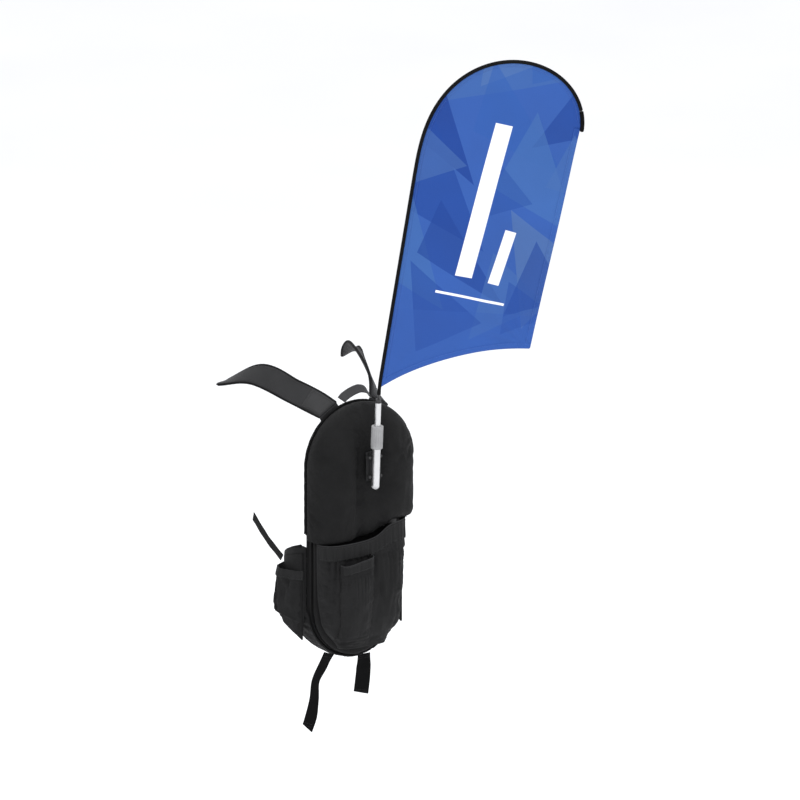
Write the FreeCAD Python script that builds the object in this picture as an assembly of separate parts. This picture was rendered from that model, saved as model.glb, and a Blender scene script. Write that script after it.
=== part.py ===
import FreeCAD, Part
import math
import os

from FreeCAD import Vector as V

# Wearable backpack with a teardrop flag on a bent pole.
# Frame: +Z up, +X to the wearer's right, the wearer faces +Y.
# The origin is the centre of the padded panel's face, which lies on the wearer's back.

# ---- driving dimensions, mm and degrees -------------------------------------------
SEAM_GAP = 0.3            # space between sewn layers
JOINT_GAP = 1.0           # space between a hinged strap and the body it hangs from

# padded back panel
PANEL_HALF_W = 110.0
PANEL_TOP_ARC_Z = 139.0
PANEL_BOTTOM_ARC_Z = -152.0
PANEL_T = 16.0
SHEET_T = 1.5
SHEET_INSET = 12.0

# outer shell, the two-lobed upper body
SHELL_HALF_W = 122.0
SHELL_BOTTOM_Z = 2.0
SHELL_DEPTH = 64.0
GROOVE_RATIO = 0.84
PIPING_R = 2.5

# lower body and pockets
LOWER_HALF_W = 110.0
LOWER_TRIM = 14.0         # the lower body is this much narrower on the right
LOWER_T = 18.0
POUCH_TOP_Z = -4.0
POUCH_BOTTOM_Z = -238.0
POUCH_HALF_W = 97.0
POUCH_LEFT = 1.12         # the pouch reaches further round on the left
POUCH_RIGHT = 0.95
POUCH_DEPTH = 46.0
POUCH_WALL = 2.5
LEAFLET_HALF_W = 41.0
LEAFLET_CENTRE = -43.0
LEAFLET_TOP_Z = -54.0
LEAFLET_DEPTH = 14.0
LEAFLET_FOOT = 24.0       # height of the pocket's floor above the pouch's floor
HEM_W = 18.0
MOUTH_HEM_W = 34.0
HEM_T = 1.6

# hip wings and hip pouches
WING_T = 8.0
WING_TOP_Z = -52.0
WING_TOP_RISE = 28.0      # the wing's top edge climbs toward the spine
SKIRT_FRONT = 12.0        # how far the rim reaches forward at the lowest point
HIP_POUCH_DROP = 34.0
WING_REACH = 70.0
HIP_POUCH_BULGE = 30.0
HIP_POUCH_WALL = 2.5
HIP_POUCH_TOP_Z = -74.0
HIP_POUCH_BOTTOM_Z = -188.0

# pole tube
TUBE_R = 8.0
TUBE_WALL = 1.7
TUBE_LEAN = 3.4
TUBE_FOOT_Z = 101.0
TUBE_CLEARANCE = 5.24     # between the tube and the bottom of the shell's groove
LOWER_TUBE_LEN = 104.0
COLLAR_START = 78.0
COLLAR_LEN = 47.0
COLLAR_R = 12.0
UPPER_TUBE_R = 6.0
UPPER_TUBE_BORE_R = 4.5
UPPER_TUBE_START = 48.0
UPPER_TUBE_END = 173.0
RUN_GAP = 0.05            # radial clearance of turning and sliding fits
BUSH_BORE_R = 3.05
BUSH_LEN = 46.0
BUSH_FLANGE_T = 2.0

# bent pole
POLE_R = 2.2
POLE_LEAN = 14.9
BOW_LEN = 60.0
POLE_LEN = 1080.0
POLE_TURN = 297.0
TURN_START = 500.0
TURN_END = 1528.0
POLE_SPLIT = 420.0
FERRULE_LEN = 60.0
FERRULE_R = 2.75
STOP_R = 5.5
STOP_T = 6.0
SLEEVE_START = 16.0
SLEEVE_R = 3.6
SLEEVE_WALL = 0.5
END_POCKET_LEN = 40.0
END_POCKET_R = 4.2

# flag panel, measured in its own plane from the top of the pole's bow
FLAG_T = 0.8
FLAG_START = 30.0         # where the lower edge meets the pole, along the pole
CORNER_UP = 100.0
CORNER_OUT = 284.0
ARC_UP = 42.0
ARC_OUT = 103.0
FLAG_HEM_W = 12.0
FLAG_HEM_T = 1.6

# straps
STRAP_W = 50.0
STRAP_T = 5.0
WEBBING_W = 25.0
WEBBING_T = 2.0
TAIL_W = 30.0
LOOP_HALF_W = 34.0
LOOP_RISE = 18.0
LOOP_W = 20.0

# ---- values worked out from the sizes above ----------------------------------------
SHELL_BACK_Y = -(PANEL_T + SHEET_T)
LOWER_BACK_Y = SHELL_BACK_Y - LOWER_T
TUBE_DIR = V(0, -math.sin(math.radians(TUBE_LEAN)), math.cos(math.radians(TUBE_LEAN)))
TUBE_AXIS_Y = SHELL_BACK_Y - SHELL_DEPTH * GROOVE_RATIO - TUBE_R - TUBE_CLEARANCE
TUBE_FOOT = V(0, TUBE_AXIS_Y, TUBE_FOOT_Z)
LOWER_BORE_R = TUBE_R - TUBE_WALL
POLE_DIR = V(0, -math.sin(math.radians(POLE_LEAN)), math.cos(math.radians(POLE_LEAN)))
FLAG_SIDE = V(math.cos(math.radians(-35)), math.sin(math.radians(-35)), 0)
FLAG_OUT = (FLAG_SIDE - POLE_DIR * FLAG_SIDE.dot(POLE_DIR)).normalize()
FLAG_NORMAL = POLE_DIR.cross(FLAG_OUT)


def save(name, shape):
    """Write one sub-part."""
    if not shape.isValid():
        shape.fix(0.01, 0.01, 0.01)
    print(name, "valid" if shape.isValid() else "INVALID", len(shape.Solids), round(shape.Volume))
    shape.exportStep("parts/" + name + ".step")


def mirror(shape):
    """The same piece for the wearer's other side."""
    return shape.mirror(V(0, 0, 0), V(1, 0, 0))


# ---- shapes used more than once ------------------------------------------------------
def stadium(half_w, y):
    """Upright outline with a round top and a round bottom, in the plane at y."""
    top, low = PANEL_TOP_ARC_Z, PANEL_BOTTOM_ARC_Z
    right_top, left_top = V(half_w, y, top), V(-half_w, y, top)
    right_low, left_low = V(half_w, y, low), V(-half_w, y, low)
    edges = [
        Part.Arc(right_top, V(0, y, top + half_w), left_top).toShape(),
        Part.makeLine(left_top, left_low),
        Part.Arc(left_low, V(0, y, low - half_w), right_low).toShape(),
        Part.makeLine(right_low, right_top),
    ]
    return Part.Wire(edges)


def slab(wire, thickness):
    """Solid from an upright outline, thickened toward -Y."""
    return Part.Face(wire).extrude(V(0, -thickness, 0))


def block(x0, x1, y0, y1, z0, z1):
    """Box between two corners."""
    return Part.makeBox(x1 - x0, y1 - y0, z1 - z0, V(x0, y0, z0))


def lobed_wire(z, half_w, depth, back_y, groove=GROOVE_RATIO, left=1.0, right=1.0, centre=0.0):
    """Level section with a flat back and two lobes beside a centre groove."""
    profile = [(-1.0, 0.0), (-0.97, 0.34), (-0.78, 0.82), (-0.42, 1.0), (-0.15, 0.5 + groove / 2),
               (0.0, groove), (0.15, 0.5 + groove / 2), (0.42, 1.0), (0.78, 0.82), (0.97, 0.34),
               (1.0, 0.0)]
    points = [V(centre + x * half_w * (left if x < 0 else right), back_y - d * depth, z)
              for x, d in profile]
    front = Part.BSplineCurve()
    front.interpolate(points)
    back = Part.makeLine(points[-1], points[0])
    return Part.Wire([front.toShape(), back])


def loft(wires):
    return Part.makeLoft(wires, True, False)


def tube(foot, direction, outer_r, bore_r, length):
    """Straight tube. A bore of zero makes a rod."""
    body = Part.makeCylinder(outer_r, length, foot, direction)
    if bore_r <= 0:
        return body
    return body.cut(Part.makeCylinder(bore_r, length + 2, foot - direction, direction))


def on_tube(distance):
    """Point on the pole tube's axis, measured up from its foot."""
    return TUBE_FOOT + TUBE_DIR * distance


def strip(points, widths, thickness):
    """Flat webbing that follows points; widths are vectors across it at each point."""
    count = len(points)
    corners = [[], [], [], []]
    for i in range(count):
        ahead = points[min(i + 1, count - 1)] - points[max(i - 1, 0)]
        side = widths[i]
        normal = ahead.cross(side).normalize() * (thickness / 2)
        corners[0].append(points[i] - side / 2 - normal)
        corners[1].append(points[i] + side / 2 - normal)
        corners[2].append(points[i] + side / 2 + normal)
        corners[3].append(points[i] - side / 2 + normal)
    rails = []
    for line in corners:
        curve = Part.BSplineCurve()
        curve.interpolate(Points=line, Parameters=[float(i) for i in range(count)])
        rails.append(curve.toShape())
    faces = [Part.makeRuledSurface(rails[i], rails[(i + 1) % 4]) for i in range(4)]
    for end in (0, -1):
        loop = [corners[i][end] for i in range(4)]
        faces.append(Part.Face(Part.makePolygon(loop + [loop[0]])))
    shell = Part.makeShell(faces)
    shell.sewShape()
    solid = Part.Solid(Part.makeShell(shell.Faces))
    if solid.Volume < 0:
        solid.reverse()
    return solid


def piping(path, radius):
    """Round rod along a wire."""
    start = path.Edges[0]
    foot = start.valueAt(start.FirstParameter)
    tangent = start.tangentAt(start.FirstParameter)
    ring = Part.Wire(Part.makeCircle(radius, foot, tangent))
    return path.makePipeShell([ring], True, False)


# ---- back panel, sheet and bodies --------------------------------------------------------
def back_panel():
    return slab(stadium(PANEL_HALF_W, 0), PANEL_T)


def frame_sheet():
    return slab(stadium(PANEL_HALF_W - SHEET_INSET, -PANEL_T), SHEET_T)


def shell_sections():
    """Half width and depth of the upper body at each level."""
    straight = [SHELL_BOTTOM_Z, SHELL_BOTTOM_Z + 30, (SHELL_BOTTOM_Z + PANEL_TOP_ARC_Z) / 2,
                PANEL_TOP_ARC_Z - 20]
    rows = [(z, SHELL_HALF_W, SHELL_DEPTH) for z in straight]
    for angle in (12, 28, 44, 58, 70, 79):
        turn = math.radians(angle)
        z = PANEL_TOP_ARC_Z + SHELL_HALF_W * math.sin(turn)
        half_w = SHELL_HALF_W * math.cos(turn)
        rows.append((z, half_w, SHELL_DEPTH * math.cos(turn) ** 0.7))
    return rows


def outer_shell():
    wires = [lobed_wire(z, w, d, SHELL_BACK_Y) for z, w, d in shell_sections()]
    return loft(wires)


def shell_piping():
    """Round binding along the rim of the upper body, on the side of the wearer."""
    y = SHELL_BACK_Y + PIPING_R
    low = SHELL_BOTTOM_Z + PIPING_R
    edges = [
        Part.makeLine(V(SHELL_HALF_W, y, low), V(SHELL_HALF_W, y, PANEL_TOP_ARC_Z)),
        Part.Arc(V(SHELL_HALF_W, y, PANEL_TOP_ARC_Z), V(0, y, PANEL_TOP_ARC_Z + SHELL_HALF_W),
                 V(-SHELL_HALF_W, y, PANEL_TOP_ARC_Z)).toShape(),
        Part.makeLine(V(-SHELL_HALF_W, y, PANEL_TOP_ARC_Z), V(-SHELL_HALF_W, y, low)),
    ]
    return piping(Part.Wire(edges), PIPING_R)


def lower_body():
    """Padded lower back behind the pocket, with the same round bottom as the panel."""
    whole = slab(stadium(LOWER_HALF_W, SHELL_BACK_Y), LOWER_T)
    span = LOWER_HALF_W + 10
    top = SHELL_BOTTOM_Z - 2
    keep = block(-span, span, LOWER_BACK_Y - 1, 0, PANEL_BOTTOM_ARC_Z - 2 * span, top)
    trimmed = whole.common(keep)
    moved = whole.copy()
    moved.translate(V(-LOWER_TRIM, 0, 0))
    return trimmed.common(moved)


def pouch_rows(inset):
    """Half width and depth of the main pouch at each level; inset is the wall."""
    height = POUCH_TOP_Z - POUCH_BOTTOM_Z
    rows = []
    for rise, wide, deep in ((1.0, 1.0, 0.93), (0.75, 1.0, 1.0), (0.45, 0.98, 1.0),
                             (0.2, 0.88, 0.9), (0.0, 0.5, 0.5)):
        z = POUCH_BOTTOM_Z + height * rise
        rows.append((z, POUCH_HALF_W * wide - inset, POUCH_DEPTH * deep - inset))
    return rows


def pouch_solid(inset, lift, extra, groove):
    rows = pouch_rows(inset)
    wires = []
    for i, (z, half_w, depth) in enumerate(rows):
        shift = extra if i == 0 else 0
        shift = lift if i == len(rows) - 1 else shift
        wires.append(lobed_wire(z + shift, half_w, depth, LOWER_BACK_Y, groove, POUCH_LEFT, POUCH_RIGHT))
    return loft(wires)


def main_pouch():
    """Pocket wall sewn to the lower body, open at the top."""
    outer = pouch_solid(0, 0, 0, 0.97)
    inner = pouch_solid(POUCH_WALL, POUCH_WALL, 1, 0.97)
    return outer.cut(inner)


def band(solid_outer, solid_inner, z0, z1):
    """The part of a wall between two levels."""
    span = 400.0
    keep = block(-span, span, -span, span, z0, z1)
    return solid_outer.cut(solid_inner).common(keep)


def main_pouch_hem():
    """Folded tape around the outside of the pocket's mouth."""
    skin = pouch_solid(0, 0, 0, 0.97)
    tape = pouch_solid(-HEM_T, 0, 0, 0.97)
    return band(tape, skin, POUCH_TOP_Z - MOUTH_HEM_W, POUCH_TOP_Z)


def leaflet_solid(inset, lift=0.0, groove=0.97):
    """Filled shape of the outer pocket; inset is the wall, lift raises the floor."""
    top = LEAFLET_TOP_Z
    low = POUCH_BOTTOM_Z + LEAFLET_FOOT
    rows = ((low + lift, 0.9, 0.75), ((top + low) / 2, 1.0, 1.0), (top, 1.0, 1.0))
    reach = POUCH_DEPTH + LEAFLET_DEPTH
    wires = [lobed_wire(z, LEAFLET_HALF_W * w - inset, reach * d - inset, LOWER_BACK_Y, groove,
                        centre=LEAFLET_CENTRE) for z, w, d in rows]
    return loft(wires)


def leaflet_pocket():
    """Second pocket on the outside of the main pouch."""
    skin = pouch_solid(0, 0, 0, 0.97)
    wall = leaflet_solid(0).cut(leaflet_solid(POUCH_WALL, POUCH_WALL))
    return biggest(wall.cut(skin))


def biggest(shape):
    return max(shape.Solids, key=lambda s: s.Volume)


def leaflet_hem():
    skin = leaflet_solid(0)
    tape = leaflet_solid(-HEM_T)
    ring = band(tape, skin, LEAFLET_TOP_Z - HEM_W, LEAFLET_TOP_Z)
    return biggest(ring.cut(pouch_solid(0, 0, 0, 0.97)))


# ---- hip wings and hip pouches (built for the wearer's right side, then mirrored) -----------
def wing_line(offset):
    """Level curve that runs from the panel's edge round the hip."""
    start = PANEL_HALF_W + SEAM_GAP + offset
    points = [V(start, -PANEL_T / 2 - 2, 0), V(start + 5, 18, 0), V(start - 3, WING_REACH, 0)]
    curve = Part.BSplineCurve()
    curve.interpolate(points)
    return curve, points


def sloped_cut(shape, top, low, drop, rise=0.0):
    """Trim a tall piece to its top edge and to a lower edge that drops toward the spine."""
    reach = WING_REACH + 5
    side = 400.0
    outline = [V(0, reach, top), V(0, reach, low), V(0, -12, low - drop), V(0, -80, low - drop),
               V(0, -80, top + rise), V(0, -12, top + rise)]
    face = Part.Face(Part.makePolygon(outline + [outline[0]]))
    return shape.common(face.extrude(V(side, 0, 0)))


def level_prism(inner_points, inner_curve, outer_points):
    """Tall prism between an inner curve and an outer curve."""
    outer = Part.BSplineCurve()
    outer.interpolate(outer_points)
    edges = [inner_curve.toShape(), Part.makeLine(inner_points[-1], outer_points[-1]),
             outer.toShape(), Part.makeLine(outer_points[0], inner_points[0])]
    wire = Part.Wire(Part.__sortEdges__(edges))
    face = Part.Face(wire)
    face.translate(V(0, 0, -400))
    return face.extrude(V(0, 0, 800))


def hip_wing():
    curve, points = wing_line(0)
    outer = [p + V(WING_T, 0, 0) for p in points]
    return sloped_cut(level_prism(points, curve, outer), WING_TOP_Z, PANEL_BOTTOM_ARC_Z, 0,
                      WING_TOP_RISE)


def hip_prism(inset):
    base = WING_T + inset
    curve, points = wing_line(base)
    if inset:
        points = [points[0] + V(2, 4 + inset, 0), points[1], points[2] - V(0, 8 + inset, 0)]
        curve = Part.BSplineCurve()
        curve.interpolate(points)
    else:
        points = [points[0], points[1], points[2] - V(0, 6, 0)]
        curve = Part.BSplineCurve()
        curve.interpolate(points)
    bulge = HIP_POUCH_BULGE - 2 * inset
    outer = [points[0] + V(1.5, 0, 0), V(points[1].x + bulge * 0.35, points[1].y - 4, 0),
             V(points[1].x + bulge * 0.92, points[1].y + 20, 0),
             V(points[2].x + bulge, points[2].y + 1, 0)]
    return level_prism(points, curve, outer)


def hip_pouch():
    outer = sloped_cut(hip_prism(0), HIP_POUCH_TOP_Z, HIP_POUCH_BOTTOM_Z, HIP_POUCH_DROP)
    inner = sloped_cut(hip_prism(HIP_POUCH_WALL), HIP_POUCH_TOP_Z + 5,
                       HIP_POUCH_BOTTOM_Z + HIP_POUCH_WALL, HIP_POUCH_DROP)
    return biggest(outer.cut(inner).cut(hip_wing()).cut(lumbar_skirt()))


def lumbar_skirt():
    """Padded rim under the panel's round bottom; it reaches forward round the hips."""
    inner = PANEL_HALF_W + SEAM_GAP
    front = WING_REACH - 4
    ring = slab(stadium(inner + WING_T, front), front + PANEL_T)
    ring = ring.cut(slab(stadium(inner, front + 1), front + PANEL_T + 2))
    top = PANEL_BOTTOM_ARC_Z - SEAM_GAP
    low = PANEL_BOTTOM_ARC_Z - inner - WING_T
    side = 2 * inner
    outline = [V(-side, -PANEL_T, top), V(-side, front, top), V(-side, SKIRT_FRONT, low - 1),
               V(-side, -PANEL_T, low - 1)]
    face = Part.Face(Part.makePolygon(outline + [outline[0]]))
    return ring.common(face.extrude(V(2 * side, 0, 0)))


# ---- pole tube ----------------------------------------------------------------------------
def lower_tube():
    return tube(TUBE_FOOT, TUBE_DIR, TUBE_R, LOWER_BORE_R, LOWER_TUBE_LEN)


def tube_end_cap():
    """Domed plug in the foot of the lower tube."""
    stem = Part.makeCylinder(LOWER_BORE_R - 0.02, 10, TUBE_FOOT, TUBE_DIR)
    dome = Part.makeSphere(TUBE_R, TUBE_FOOT, TUBE_DIR, -90, 0, 360)
    return dome.fuse(stem)


def tube_bracket(shell):
    """Moulded cradle in the centre groove that carries the lower tube."""
    low = TUBE_FOOT_Z + 10
    body = block(-17, 17, -86, -60, low, low + 58)
    cradle = Part.makeCylinder(TUBE_R + 0.02, 200, TUBE_FOOT - TUBE_DIR * 30, TUBE_DIR)
    front = block(-17, 17, -120, TUBE_AXIS_Y - 1, low - 5, low + 70)
    flange_trim = shell.copy()
    flange_trim.translate(V(0, -3.0, 0))
    rib = block(-8, 8, -86, -60, low, low + 58)
    pad = body.common(flange_trim).fuse(rib.cut(front))
    return biggest(pad.cut(shell).cut(cradle))


def bracket_rivet_places():
    low = TUBE_FOOT_Z + 10
    return [(x, low + z) for x in (-13, 13) for z in (9, 49)]


def bracket_rivets():
    """Four blind rivets through the cradle's flanges."""
    group = []
    for x, z in bracket_rivet_places():
        shank = Part.makeCylinder(1.9, 12, V(x, -86, z), V(0, 1, 0))
        head = Part.makeSphere(3.4, V(x, -84.2, z)).common(block(x - 5, x + 5, -90, -84.2, z - 5, z + 5))
        group.append(shank.fuse(head))
    return Part.makeCompound(group)


def lock_collar():
    """Twist lock that grips the upper tube; it turns on the end of the lower tube."""
    foot = on_tube(COLLAR_START)
    body = Part.makeCylinder(COLLAR_R, COLLAR_LEN, foot, TUBE_DIR)
    body = body.makeChamfer(1.0, [body.Edges[0], body.Edges[2]])
    socket = LOWER_TUBE_LEN - COLLAR_START + 0.5
    body = body.cut(Part.makeCylinder(TUBE_R + RUN_GAP, socket + 1, foot - TUBE_DIR, TUBE_DIR))
    body = body.cut(Part.makeCylinder(UPPER_TUBE_R + RUN_GAP, COLLAR_LEN * 2, foot, TUBE_DIR))
    for i in range(16):
        angle = 360.0 * i / 16
        flute = Part.makeCylinder(1.3, COLLAR_LEN - 14, foot + TUBE_DIR * 7 + V(COLLAR_R + 0.5, 0, 0),
                                  TUBE_DIR)
        flute.rotate(foot, TUBE_DIR, angle)
        body = body.cut(flute)
    return body


def upper_tube():
    foot = on_tube(UPPER_TUBE_START)
    return tube(foot, TUBE_DIR, UPPER_TUBE_R, UPPER_TUBE_BORE_R, UPPER_TUBE_END - UPPER_TUBE_START)


def expander_plug():
    """Nylon foot of the upper tube that slides in the lower tube."""
    foot = on_tube(UPPER_TUBE_START - 16)
    ring = Part.makeCylinder(LOWER_BORE_R - RUN_GAP, 16, foot, TUBE_DIR)
    stem = Part.makeCylinder(UPPER_TUBE_BORE_R - 0.02, 28, foot, TUBE_DIR)
    return ring.fuse(stem)


def swivel_bush():
    """Flanged bush in the mouth of the upper tube; the pole turns with it."""
    mouth = on_tube(UPPER_TUBE_END)
    body = Part.makeCylinder(UPPER_TUBE_BORE_R - RUN_GAP, BUSH_LEN, mouth - TUBE_DIR * BUSH_LEN,
                             TUBE_DIR)
    flange = Part.makeCylinder(UPPER_TUBE_R, BUSH_FLANGE_T, mouth + TUBE_DIR * RUN_GAP, TUBE_DIR)
    neck = Part.makeCylinder(UPPER_TUBE_BORE_R - RUN_GAP, 1.0, mouth - TUBE_DIR * 0.5, TUBE_DIR)
    body = body.fuse(neck).fuse(flange)
    bore = Part.makeCylinder(BUSH_BORE_R, BUSH_LEN + 20, mouth - TUBE_DIR * (BUSH_LEN + 5), TUBE_DIR)
    return body.cut(bore)


# ---- bent pole ------------------------------------------------------------------------------
def pole_start():
    """Where the bent part begins, on top of the bush's flange."""
    return on_tube(UPPER_TUBE_END + BUSH_FLANGE_T + 2 * RUN_GAP)


def pole_direction(s):
    """Direction of the pole at the length s above the bush."""
    if s < BOW_LEN:
        lean = math.radians(TUBE_LEAN + (POLE_LEAN - TUBE_LEAN) * s / BOW_LEN)
        return V(0, -math.sin(lean), math.cos(lean))
    part = min(max((s - TURN_START) / (TURN_END - TURN_START), 0.0), 1.0)
    turn = math.radians(POLE_TURN) * (3 * part ** 2 - 2 * part ** 3)
    return POLE_DIR * math.cos(turn) + FLAG_OUT * math.sin(turn)


def pole_points(s0, s1, step=4.0):
    """Points along the pole's axis from s0 to s1, with the local outward side."""
    place = pole_start()
    count = int(round(POLE_LEN / step))
    found = []
    for i in range(count + 1):
        s = i * step
        if s0 - 1e-6 <= s <= s1 + 1e-6:
            found.append((s, place, pole_direction(s)))
        place = place + pole_direction(s + step / 2) * step
    return found


def pole_rings(rows, radius):
    """Circles round the pole, with every seam on the flag's front side."""
    rings = []
    for _, point, direction in rows:
        out = direction.cross(FLAG_NORMAL).normalize()
        front = out.cross(direction).normalize()
        ring = Part.Wire([Part.makeCircle(radius, V(0, 0, 0), V(0, 0, 1), 30 * k, 30 * k + 30)
                          for k in range(12)])
        ring.Placement = FreeCAD.Placement(point, FreeCAD.Rotation(front, out, direction, "ZXY"))
        rings.append(ring)
    return rings


def pole_pipe(s0, s1, radius, bore=0.0, every=6):
    """Round rod or pipe that follows the bent pole from s0 to s1."""
    rows = pole_points(s0, s1)
    picked = rows[:-1:every] + [rows[-1]]
    body = Part.makeLoft(pole_rings(picked, radius), True, False)
    if bore > 0:
        body = body.cut(Part.makeLoft(pole_rings(picked, bore), True, False))
    return body


def pole_spigot():
    """Thick foot of the pole that stands in the bush."""
    foot = pole_start() - TUBE_DIR * (BUSH_LEN + BUSH_FLANGE_T)
    return tube(foot, TUBE_DIR, BUSH_BORE_R - RUN_GAP, POLE_R + 0.02, BUSH_LEN + BUSH_FLANGE_T)


def pole_stop_ring():
    """Ring fixed to the pole that rests on the bush's flange."""
    ring = tube(pole_start() + TUBE_DIR * RUN_GAP, TUBE_DIR, STOP_R, POLE_R + 0.4, STOP_T)
    return ring


def pole_lower():
    rise = BUSH_LEN + BUSH_FLANGE_T
    foot = pole_start() - TUBE_DIR * rise
    stem = Part.makeCylinder(POLE_R, rise, foot, TUBE_DIR)
    return stem.fuse(pole_pipe(0, POLE_SPLIT, POLE_R))


def pole_ferrule():
    half = FERRULE_LEN / 2
    return pole_pipe(POLE_SPLIT - half, POLE_SPLIT + half, FERRULE_R, POLE_R + 0.03)


def pole_upper():
    return pole_pipe(POLE_SPLIT + 4, POLE_LEN - 4, POLE_R)


def pole_tip():
    rows = pole_points(POLE_LEN - 4, POLE_LEN)
    foot, direction = rows[0][1], rows[0][2]
    return Part.makeCylinder(POLE_R + 0.3, 6, foot, direction)


def sleeve_end():
    return POLE_LEN - END_POCKET_LEN


def pole_sleeve():
    return pole_pipe(SLEEVE_START, sleeve_end(), SLEEVE_R, SLEEVE_R - SLEEVE_WALL)


def flag_end_pocket():
    """Closed pocket of doubled webbing over the pole's tip."""
    rows = pole_points(POLE_LEN - 4, POLE_LEN)
    cap = Part.makeCylinder(END_POCKET_R, 3, rows[-1][1] + rows[-1][2] * 4, rows[-1][2])
    wall = pole_pipe(sleeve_end() + 2, POLE_LEN, END_POCKET_R, SLEEVE_R - SLEEVE_WALL)
    rim = tube(rows[-1][1], rows[-1][2], END_POCKET_R, SLEEVE_R - SLEEVE_WALL, 4.01)
    return wall.fuse(rim).fuse(cap)


# ---- flag ---------------------------------------------------------------------------------
def flag_base():
    """Top of the bow, the zero point of the flag's plane."""
    return pole_points(BOW_LEN, BOW_LEN)[0][1]


def on_flag(up, out, lift=0.0):
    return flag_base() + POLE_DIR * up + FLAG_OUT * out + FLAG_NORMAL * lift


def flag_outline(lift):
    """Pole side, tip side, straight fly edge and hollow lower edge."""
    base = flag_base()
    rows = pole_points(FLAG_START, POLE_LEN)
    rows = rows[:-1:10] + [rows[-1]]
    side = []
    for _, point, direction in rows:
        rel = point - base
        flat = point - FLAG_NORMAL * rel.dot(FLAG_NORMAL)
        inward = direction.cross(FLAG_NORMAL).normalize() * -(END_POCKET_R + SEAM_GAP)
        side.append(flat + inward + FLAG_NORMAL * lift)
    curve = Part.BSplineCurve()
    curve.interpolate(side)
    corner = on_flag(CORNER_UP, CORNER_OUT, lift)
    edges = [curve.toShape(), Part.makeLine(side[-1], corner),
             Part.Arc(corner, on_flag(ARC_UP, ARC_OUT, lift), side[0]).toShape()]
    return edges, side


def flag_slab(thickness):
    edges, _ = flag_outline(-thickness / 2)
    return Part.Face(Part.Wire(edges)).extrude(FLAG_NORMAL * thickness)


def fly_zone():
    """Block over the band beside the straight fly edge."""
    _, side = flag_outline(0)
    corner = on_flag(CORNER_UP, CORNER_OUT)
    along = (side[-1] - corner).normalize()
    across = along.cross(FLAG_NORMAL).normalize()
    if across.dot(FLAG_OUT) > 0:
        across = across * -1
    start = corner - along * 60 - across * 60
    outline = [start, start + along * 900, start + along * 900 + across * (60 + FLAG_HEM_W),
               start + across * (60 + FLAG_HEM_W)]
    outline = [p - FLAG_NORMAL * 5 for p in outline]
    return Part.Face(Part.makePolygon(outline + [outline[0]])).extrude(FLAG_NORMAL * 10)


def foot_zone():
    """Disc over the band beside the hollow lower edge."""
    edges, _ = flag_outline(0)
    circle = edges[2].Curve
    radius = circle.Radius + FLAG_HEM_W
    centre = circle.Center - FLAG_NORMAL * 5
    return Part.makeCylinder(radius, 10, centre, FLAG_NORMAL)


def flag_panel():
    return biggest(flag_slab(FLAG_T).cut(fly_zone()).cut(foot_zone()))


def flag_fly_hem():
    return biggest(flag_slab(FLAG_HEM_T).common(fly_zone()))


def flag_foot_hem():
    return biggest(flag_slab(FLAG_HEM_T).common(foot_zone()).cut(fly_zone()))


# ---- straps ----------------------------------------------------------------------------------
def arch_point(x, y, clear):
    """Point just outside the upper rim at x."""
    radius = SHELL_HALF_W + clear
    return V(x, y, PANEL_TOP_ARC_Z + math.sqrt(radius ** 2 - x ** 2))


def unit(x, y, z, length):
    return V(x, y, z).normalize() * length


def strap_root(side):
    return arch_point(side * 62, -8, PIPING_R + STRAP_T / 2 + 1.5)


def shoulder_strap_left():
    root = strap_root(-1)
    points = [root, V(-68, 30, 262), V(-84, 83, 278), V(-110, 168, 300), V(-150, 240, 269)]
    widths = [unit(-0.85, 0, -0.5, STRAP_W), unit(-0.7, 0, -0.7, STRAP_W),
              unit(-0.65, 0, -0.76, STRAP_W), unit(-0.66, -0.15, -0.7, STRAP_W),
              unit(-0.55, -0.8, 0.2, STRAP_W * 0.9)]
    return strip(points, widths, STRAP_T)


def shoulder_strap_right():
    root = strap_root(1)
    points = [root, V(74, 26, 271), V(88, 66, 296), V(118, 150, 320), V(152, 222, 294)]
    widths = [unit(0.85, 0, -0.5, STRAP_W), unit(0.6, 0.3, -0.74, STRAP_W),
              unit(0.55, 0.4, -0.74, STRAP_W), unit(0.66, 0.3, -0.6, STRAP_W),
              unit(0.55, 0.8, -0.2, STRAP_W * 0.9)]
    return strip(points, widths, STRAP_T)


def tail_root(x):
    radius = PANEL_HALF_W + SEAM_GAP + WING_T + JOINT_GAP
    return V(x, -8, PANEL_BOTTOM_ARC_Z - math.sqrt(radius ** 2 - x ** 2))


def waist_tail_left():
    root = tail_root(-60)
    slope = root.x / (PANEL_BOTTOM_ARC_Z - root.z)
    points = [root, V(-69, 2, -286), V(-75, 10, -318), V(-80, 16, -354), V(-86, 20, -388),
              V(-91, 24, -414)]
    widths = [unit(1, 0, slope, TAIL_W * 0.8), unit(0.85, -0.35, 0, WEBBING_W),
              unit(0.8, -0.5, 0, WEBBING_W), unit(0.75, -0.6, 0, WEBBING_W),
              unit(0.8, -0.5, 0, WEBBING_W), unit(0.8, -0.5, 0.25, WEBBING_W * 0.9)]
    return strip(points, widths, WEBBING_T)


def waist_tail_right():
    root = tail_root(26)
    slope = root.x / (PANEL_BOTTOM_ARC_Z - root.z)
    points = [root, V(26, -6, -295), V(26, -2, -325), V(25, 2, -353)]
    widths = [unit(1, 0, slope, TAIL_W), unit(0.92, -0.3, 0, TAIL_W),
              unit(0.86, -0.5, 0, TAIL_W), unit(0.84, -0.54, 0, TAIL_W)]
    return strip(points, widths, WEBBING_T)


def hip_webbing_right():
    """Webbing from the front top corner of the hip wing."""
    x = PANEL_HALF_W + SEAM_GAP + WING_T / 2 + 1
    root = V(x, WING_REACH + WEBBING_W * 0.26 + JOINT_GAP, WING_TOP_Z - 14)
    end = root + V(4, 94, 64)
    middle = root + V(3, 46, 29)
    side = unit(0, -0.60, 0.80, WEBBING_W * 0.72)
    return strip([root, middle, end], [side, side, side], WEBBING_T)


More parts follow.
